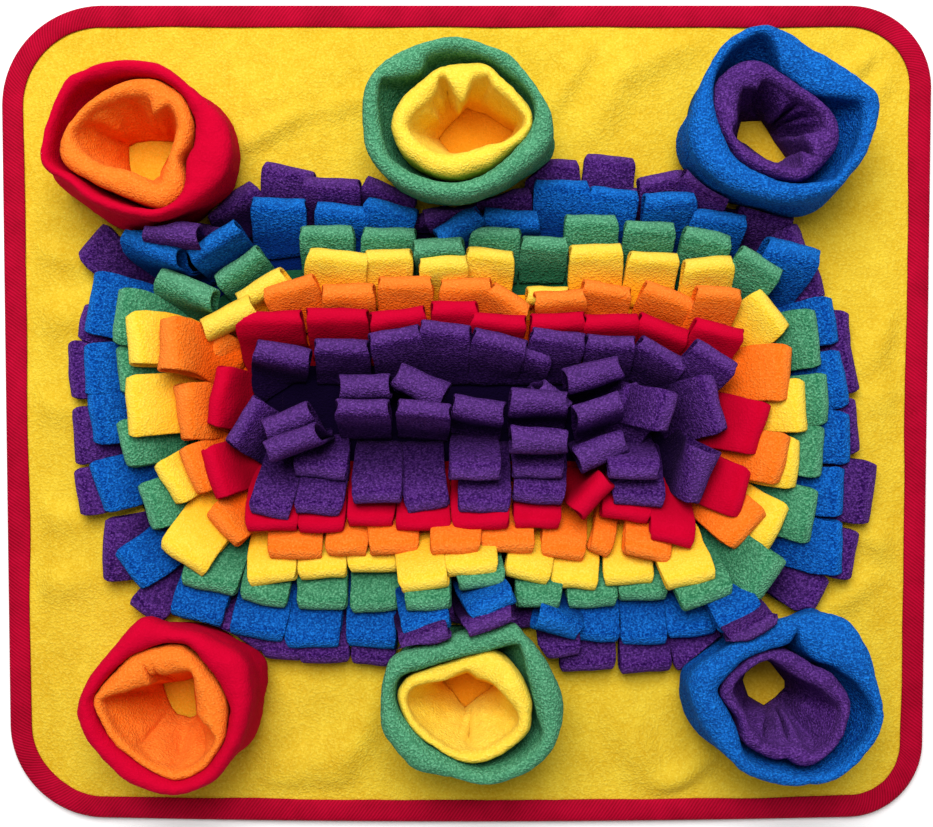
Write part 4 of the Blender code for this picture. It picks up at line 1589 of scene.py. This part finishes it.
def cups() -> list[Cup]:
    """The cups, each with its outlines in the view from above.

    Returns:
        The six cups, far ones first.
    """
    return [
        Cup("far_left", Cloth.RED, Cloth.ORANGE, -0.1700, 0.1370, -12, 0.0385, 0.0355,
            belly=((66, 84), (84, 73), (108, 64), (143, 63), (167, 68), (191, 85), (215, 102),
                   (232, 123), (239, 147), (239, 167), (232, 190), (210, 207), (185, 219), (155, 228),
                   (125, 231), (105, 225), (84, 208), (62, 187), (50, 170), (47, 150), (52, 119)),
            rim=((66, 84), (84, 73), (108, 64), (143, 63), (167, 68), (191, 85), (212, 105), (227, 125),
                 (233, 150), (229, 172), (216, 190), (200, 203), (180, 213), (160, 218), (140, 218),
                 (120, 213), (100, 203), (80, 193), (62, 180), (50, 165), (47, 150), (52, 119)),
            roll=((55, 164), (57, 136), (66, 109), (78, 92), (98, 81), (126, 76), (156, 78), (177, 88),
                  (190, 104), (197, 124), (196, 145), (188, 162), (187, 180), (182, 194), (172, 206),
                  (153, 212), (125, 207), (101, 197), (78, 181)),
            lip=((61, 153), (66, 136), (78, 119), (91, 105), (108, 92), (129, 83), (153, 81), (174, 88),
                 (187, 102), (194, 123), (192, 143), (183, 160), (185, 177), (183, 192), (170, 205),
                 (156, 208), (136, 203), (112, 193), (88, 181), (67, 167)),
            throat=((78, 134), (85, 123), (98, 111), (119, 100), (139, 97), (152, 101), (157, 116),
                    (163, 108), (172, 108), (178, 120), (178, 137), (173, 157), (165, 171), (159, 184),
                    (142, 179), (131, 174), (115, 170), (95, 162), (81, 150)),
            hole=((127, 146), (135, 141), (150, 139), (175, 140), (177, 145), (168, 160), (162, 172),
                  (160, 186), (148, 184), (130, 176), (128, 165)),
            pleats=(Pleat(154, 7, -3.0), Pleat(138, 12, 3.5), Pleat(75, 8, 2.5),
                    Pleat(95, 9, -2.0)), seed=21),
        Cup("far_middle", Cloth.GREEN, Cloth.YELLOW, -0.0040, 0.1535, 3, 0.0430, 0.0345,
            belly=((363, 115), (367, 88), (388, 60), (425, 43), (455, 38), (485, 46), (515, 61),
                   (546, 103), (556, 135), (550, 158), (525, 178), (498, 195), (450, 207), (400, 192),
                   (368, 158)),
            rim=((362, 115), (367, 88), (388, 60), (425, 43), (455, 38), (485, 46), (515, 61),
                 (546, 103), (554, 132), (546, 153), (525, 172), (498, 190), (450, 202), (400, 188),
                 (368, 155)),
            roll=((383, 83), (380, 102), (380, 123), (383, 143), (390, 160), (408, 173), (432, 181),
                  (456, 184), (480, 179), (497, 169), (517, 150), (532, 131), (537, 112), (529, 92),
                  (511, 75), (487, 60), (456, 53), (429, 58), (419, 74), (400, 80)),
            lip=((393, 133), (394, 120), (398, 108), (406, 97), (418, 86), (435, 72), (455, 65),
                 (485, 66), (500, 77), (513, 89), (527, 104), (533, 118), (530, 135), (508, 155),
                 (490, 169), (455, 177), (425, 170), (402, 154)),
            throat=((408, 130), (413, 116), (425, 105), (434, 94), (438, 82), (446, 81), (453, 93),
                    (462, 101), (470, 85), (487, 79), (493, 90), (508, 100), (521, 114), (526, 124),
                    (519, 134), (504, 145), (487, 149), (470, 153), (450, 155), (431, 151), (417, 142)),
            hole=((437, 139), (445, 128), (455, 118), (466, 106), (475, 110), (487, 113), (500, 122),
                  (517, 132), (510, 140), (500, 147), (488, 152), (475, 156), (450, 156)),
            pleats=(Pleat(108, 8, -2.0), Pleat(92, 7, 2.5), Pleat(74, 7, -2.0), Pleat(176, 9, 2.5),
                    Pleat(150, 10, -1.5)), seed=22),
        Cup("far_right", Cloth.BLUE, Cloth.PURPLE, 0.1625, 0.1525, 8, 0.0415, 0.0375,
            belly=((761, 28), (741, 37), (715, 60), (699, 85), (690, 113), (677, 131), (677, 156),
                   (685, 170), (707, 188), (733, 199), (761, 208), (789, 216), (807, 215), (832, 196),
                   (853, 172), (868, 149), (877, 117), (875, 95), (860, 81), (839, 67), (818, 53),
                   (789, 35)),
            rim=((761, 28), (741, 37), (715, 60), (699, 85), (690, 113), (688, 134), (692, 153),
                 (704, 172), (724, 187), (750, 198), (780, 204), (806, 203), (830, 192), (853, 170),
                 (868, 149), (877, 117), (875, 95), (860, 81), (839, 67), (818, 53), (789, 35)),
            roll=((716, 73), (730, 52), (750, 40), (763, 38), (773, 46), (781, 70), (793, 81),
                  (811, 93), (836, 97), (852, 98), (861, 107), (861, 124), (855, 145), (843, 166),
                  (830, 180), (807, 185), (782, 184), (757, 174), (736, 160), (725, 143), (716, 122),
                  (711, 99)),
            lip=((714, 86), (724, 72), (741, 62), (761, 63), (777, 72), (797, 86), (818, 102),
                 (832, 117), (837, 133), (834, 149), (821, 166), (805, 180), (789, 182), (765, 175),
                 (743, 163), (729, 147), (720, 131), (713, 109)),
            throat=((735, 122), (736, 105), (740, 91), (747, 82), (754, 92), (761, 80), (773, 83),
                    (791, 97), (810, 109), (820, 121), (818, 133), (799, 139), (794, 150), (812, 153),
                    (811, 163), (797, 170), (775, 166), (757, 157), (741, 147), (731, 134)),
            hole=((740, 120), (762, 119), (768, 128), (776, 142), (786, 155), (793, 166), (780, 166),
                  (768, 162), (755, 153), (745, 145), (735, 141), (737, 130)),
            pleats=(Pleat(130, 9, -5.0), Pleat(94, 20, 7.0), Pleat(44, 8, -2.5), Pleat(20, 8, 3.5),
                    Pleat(-32, 8, -3.5), Pleat(-8, 8, 4.0)), seed=23),
        Cup("near_left", Cloth.RED, Cloth.ORANGE, -0.1550, -0.1520, 14, 0.0390, 0.0360,
            belly=((142, 618), (114, 648), (91, 675), (79, 703), (81, 722), (98, 752), (128, 778),
                   (158, 791), (195, 791), (222, 775), (240, 753), (256, 735), (264, 705), (269, 672),
                   (262, 655), (235, 640), (200, 626), (165, 620)),
            rim=((142, 618), (114, 648), (91, 675), (79, 703), (81, 722), (98, 752), (128, 778),
                 (158, 791), (190, 791), (216, 779), (233, 757), (244, 738), (250, 715), (252, 690),
                 (250, 668), (240, 652), (218, 639), (195, 630), (165, 624)),
            roll=((94, 702), (96, 690), (108, 675), (121, 663), (136, 651), (160, 643), (182, 641),
                  (193, 647), (204, 659), (215, 672), (224, 689), (231, 706), (230, 723), (225, 741),
                  (218, 754), (208, 767), (188, 777), (165, 776), (145, 767), (125, 752), (108, 736),
                  (97, 718)),
            lip=((95, 702), (97, 692), (108, 678), (120, 667), (130, 656), (142, 650), (160, 646),
                 (180, 644), (190, 650), (200, 660), (212, 674), (222, 690), (228, 705), (228, 722),
                 (224, 740), (218, 752), (210, 764), (195, 774), (180, 778), (165, 774), (145, 765),
                 (125, 750), (112, 737), (102, 720)),
            throat=((103, 698), (112, 692), (125, 688), (140, 684), (152, 681), (156, 674), (146, 663),
                    (152, 662), (162, 672), (180, 671), (193, 670), (197, 690), (201, 714), (209, 722),
                    (216, 736), (211, 750), (198, 762), (178, 768), (155, 762), (135, 748), (118, 730),
                    (107, 712)),
            hole=((161, 682), (166, 698), (170, 708), (176, 715), (190, 719), (198, 716), (197, 700),
                  (196, 684), (194, 676), (185, 679), (170, 681)),
            pleats=(Pleat(-126, 6, -2.0), Pleat(-100, 12, 2.4), Pleat(-80, 6, -2.0),
                    Pleat(-48, 6, -2.0), Pleat(-62, 8, 2.0), Pleat(168, 9, -3.0)), seed=24),
        Cup("near_middle", Cloth.GREEN, Cloth.YELLOW, 0.0020, -0.1500, -4, 0.0415, 0.0340,
            belly=((510, 622), (522, 630), (532, 641), (543, 656), (554, 674), (562, 695), (563, 715),
                   (558, 735), (548, 752), (522, 773), (488, 783), (452, 776), (418, 770), (400, 754),
                   (384, 733), (380, 715), (380, 695), (384, 675), (397, 654), (440, 640), (470, 630)),
            rim=((510, 622), (522, 630), (532, 641), (543, 656), (554, 674), (561, 695), (562, 715),
                 (558, 735), (548, 752), (522, 773), (488, 783), (452, 776), (418, 770), (400, 754),
                 (384, 733), (380, 715), (380, 695), (384, 675), (397, 654), (440, 640), (470, 630)),
            roll=((396, 703), (394, 690), (397, 680), (405, 673), (420, 667), (440, 661), (460, 655),
                  (480, 651), (497, 647), (510, 643), (519, 643), (523, 652), (526, 668), (531, 685),
                  (535, 700), (539, 715), (542, 727), (540, 737), (530, 748), (515, 759), (498, 767),
                  (480, 769), (462, 764), (440, 753), (420, 739), (405, 720)),
            lip=((398, 696), (402, 684), (412, 674), (430, 668), (445, 663), (460, 658), (475, 654),
                 (488, 650), (500, 655), (510, 662), (518, 672), (526, 686), (532, 700), (532, 715),
                 (530, 727), (520, 740), (505, 752), (490, 759), (475, 762), (460, 760), (445, 753),
                 (430, 743), (415, 732), (405, 716)),
            throat=((409, 692), (416, 684), (430, 680), (445, 677), (467, 669), (480, 676), (494, 682),
                    (505, 694), (514, 705), (520, 715), (515, 728), (500, 742), (480, 750), (460, 750),
                    (440, 742), (420, 725), (408, 706)),
            hole=((440, 681), (450, 677), (460, 673), (467, 671), (475, 678), (485, 681), (495, 685),
                  (490, 690), (478, 698), (465, 709), (459, 703), (452, 692)),
            pleats=(Pleat(-91, 5, -3.0), Pleat(-122, 18, 2.4), Pleat(-60, 18, 2.4), Pleat(-20, 7, -2.0),
                    Pleat(178, 9, -3.0)), seed=25, sag=0.17),
        Cup("near_right", Cloth.BLUE, Cloth.PURPLE, 0.1640, -0.1505, -10, 0.0400, 0.0345,
            belly=((683, 668), (680, 690), (682, 705), (692, 730), (712, 745), (733, 767), (760, 780),
                   (800, 784), (838, 773), (865, 745), (880, 710), (880, 695), (868, 655), (853, 628),
                   (820, 608), (790, 612), (760, 624), (725, 642), (700, 658)),
            rim=((700, 664), (690, 678), (689, 692), (694, 708), (702, 725), (714, 742), (730, 760),
                 (745, 773), (765, 780), (800, 784), (838, 773), (865, 745), (880, 710), (880, 695),
                 (868, 655), (853, 628), (835, 616), (805, 612), (775, 620), (740, 637), (715, 654)),
            roll=((717, 692), (722, 680), (735, 664), (750, 654), (768, 648), (783, 643), (790, 638),
                  (795, 626), (799, 640), (804, 650), (812, 657), (821, 661), (832, 665), (846, 675),
                  (860, 688), (868, 700), (872, 714), (866, 733), (853, 750), (838, 763), (822, 771),
                  (805, 774), (780, 769), (760, 765), (745, 757), (738, 745), (734, 728), (725, 708)),
            lip=((720, 694), (724, 680), (735, 667), (748, 657), (762, 651), (778, 648), (790, 650),
                 (800, 656), (815, 665), (830, 672), (840, 683), (847, 695), (849, 705), (845, 722),
                 (840, 737), (830, 750), (818, 760), (806, 766), (795, 762), (785, 756), (775, 757),
                 (762, 754), (750, 748), (740, 738), (737, 725), (733, 715), (726, 705)),
            throat=((731, 690), (738, 676), (750, 663), (764, 655), (775, 660), (785, 668), (800, 677),
                    (818, 686), (830, 697), (838, 708), (835, 725), (826, 742), (812, 752), (800, 745),
                    (790, 742), (775, 744), (760, 738), (748, 725), (740, 710), (735, 700)),
            hole=((741, 680), (746, 668), (755, 661), (764, 657), (772, 662), (778, 670), (786, 680),
                  (786, 688), (776, 698), (764, 707), (755, 702), (747, 697)),
            pleats=(Pleat(-160, 8, -3.0), Pleat(-138, 9, 5.5), Pleat(-117, 7, -4.5), Pleat(-98, 9, 5.0),
                    Pleat(-84, 5, -4.0), Pleat(-70, 7, 5.0), Pleat(-50, 9, -2.5),
                    Pleat(-18, 14, 2.5)), seed=26, sag=0.13),
    ]


@dataclass
class Studio:
    """The pale floor, the soft light and the camera.

    Attributes:
        floor_size: Half the floor's side.
        floor_tone: Its colour.
        floor_grain: Colour that its faint grain runs to.
        lens: The camera's focal length, in millimetres.
        key_power: The light's power in watts.
        key_size: The light's side.
        key_place: Where the light stands.
        fill: Strength of the light from all round.
    """

    floor_size: float = 3.0
    floor_tone: Colour = (1.0, 1.0, 1.0)
    floor_grain: Colour = (0.98, 0.98, 0.98)
    lens: float = 52.96
    key_power: float = 28.5
    key_size: float = 0.9
    key_place: tuple[float, float, float] = (-0.10, 0.65, 1.35)
    fill: float = 0.31

    def build(self) -> None:
        """Builds the studio."""
        scene = bpy.context.scene
        camera_data = bpy.data.cameras.new("camera")
        camera_data.lens = self.lens
        camera_data.sensor_width = 36.0
        camera_data.sensor_fit = "HORIZONTAL"
        camera = bpy.data.objects.new("camera", camera_data)
        camera.location = (0.0, 0.0, VIEW.eye)
        scene.collection.objects.link(camera)
        scene.camera = camera
        sheet = Sheet()
        bmesh.ops.create_grid(sheet.bm, x_segments=2, y_segments=2, size=self.floor_size)
        finish = Finish("floor_paper")
        grain = finish.ramp(finish.grain(finish.place(), 30.0, 3.0), 0.3, 0.7)
        tone = finish.mix(grain * 0.3, self.floor_tone, self.floor_grain)
        finish.shade({"Base Color": tone, "Roughness": 0.9})
        floor = sheet.finish("floor", finish.material, outward=False)
        self.light("key_light", self.key_place, self.key_power, self.key_size)
        world = bpy.data.worlds.new("studio_air")
        world.use_nodes = True
        air = world.node_tree.nodes["Background"]
        air.inputs["Color"].default_value = (1.0, 0.99, 0.98, 1.0)
        air.inputs["Strength"].default_value = self.fill
        scene.world = world
        scene.view_settings.view_transform = "Standard"

    def light(self, name: str, place: tuple[float, float, float], power: float, size: float) -> None:
        """Adds a soft square light that shines at the mat's middle.

        Args:
            name: Its name.
            place: Where it stands.
            power: Its power in watts.
            size: Its side in metres.
        """
        data = bpy.data.lights.new(name, "AREA")
        data.energy = power
        data.size = size
        lamp = bpy.data.objects.new(name, data)
        lamp.location = place
        lamp.rotation_euler = (-Vector(place)).to_track_quat("-Z", "Y").to_euler()
        bpy.context.scene.collection.objects.link(lamp)


def main() -> None:
    """Builds the mat and its studio."""
    logging.basicConfig(level=logging.INFO, format="%(name)s: %(message)s")
    Studio().build()
    all_cups = cups()
    Panel().build(all_cups)
    Binding().build()
    lying = Field()
    for ring in rings():
        ring.build(lying, all_cups)
    for cup in all_cups:
        cup.build()


if __name__ == "__main__":
    main()
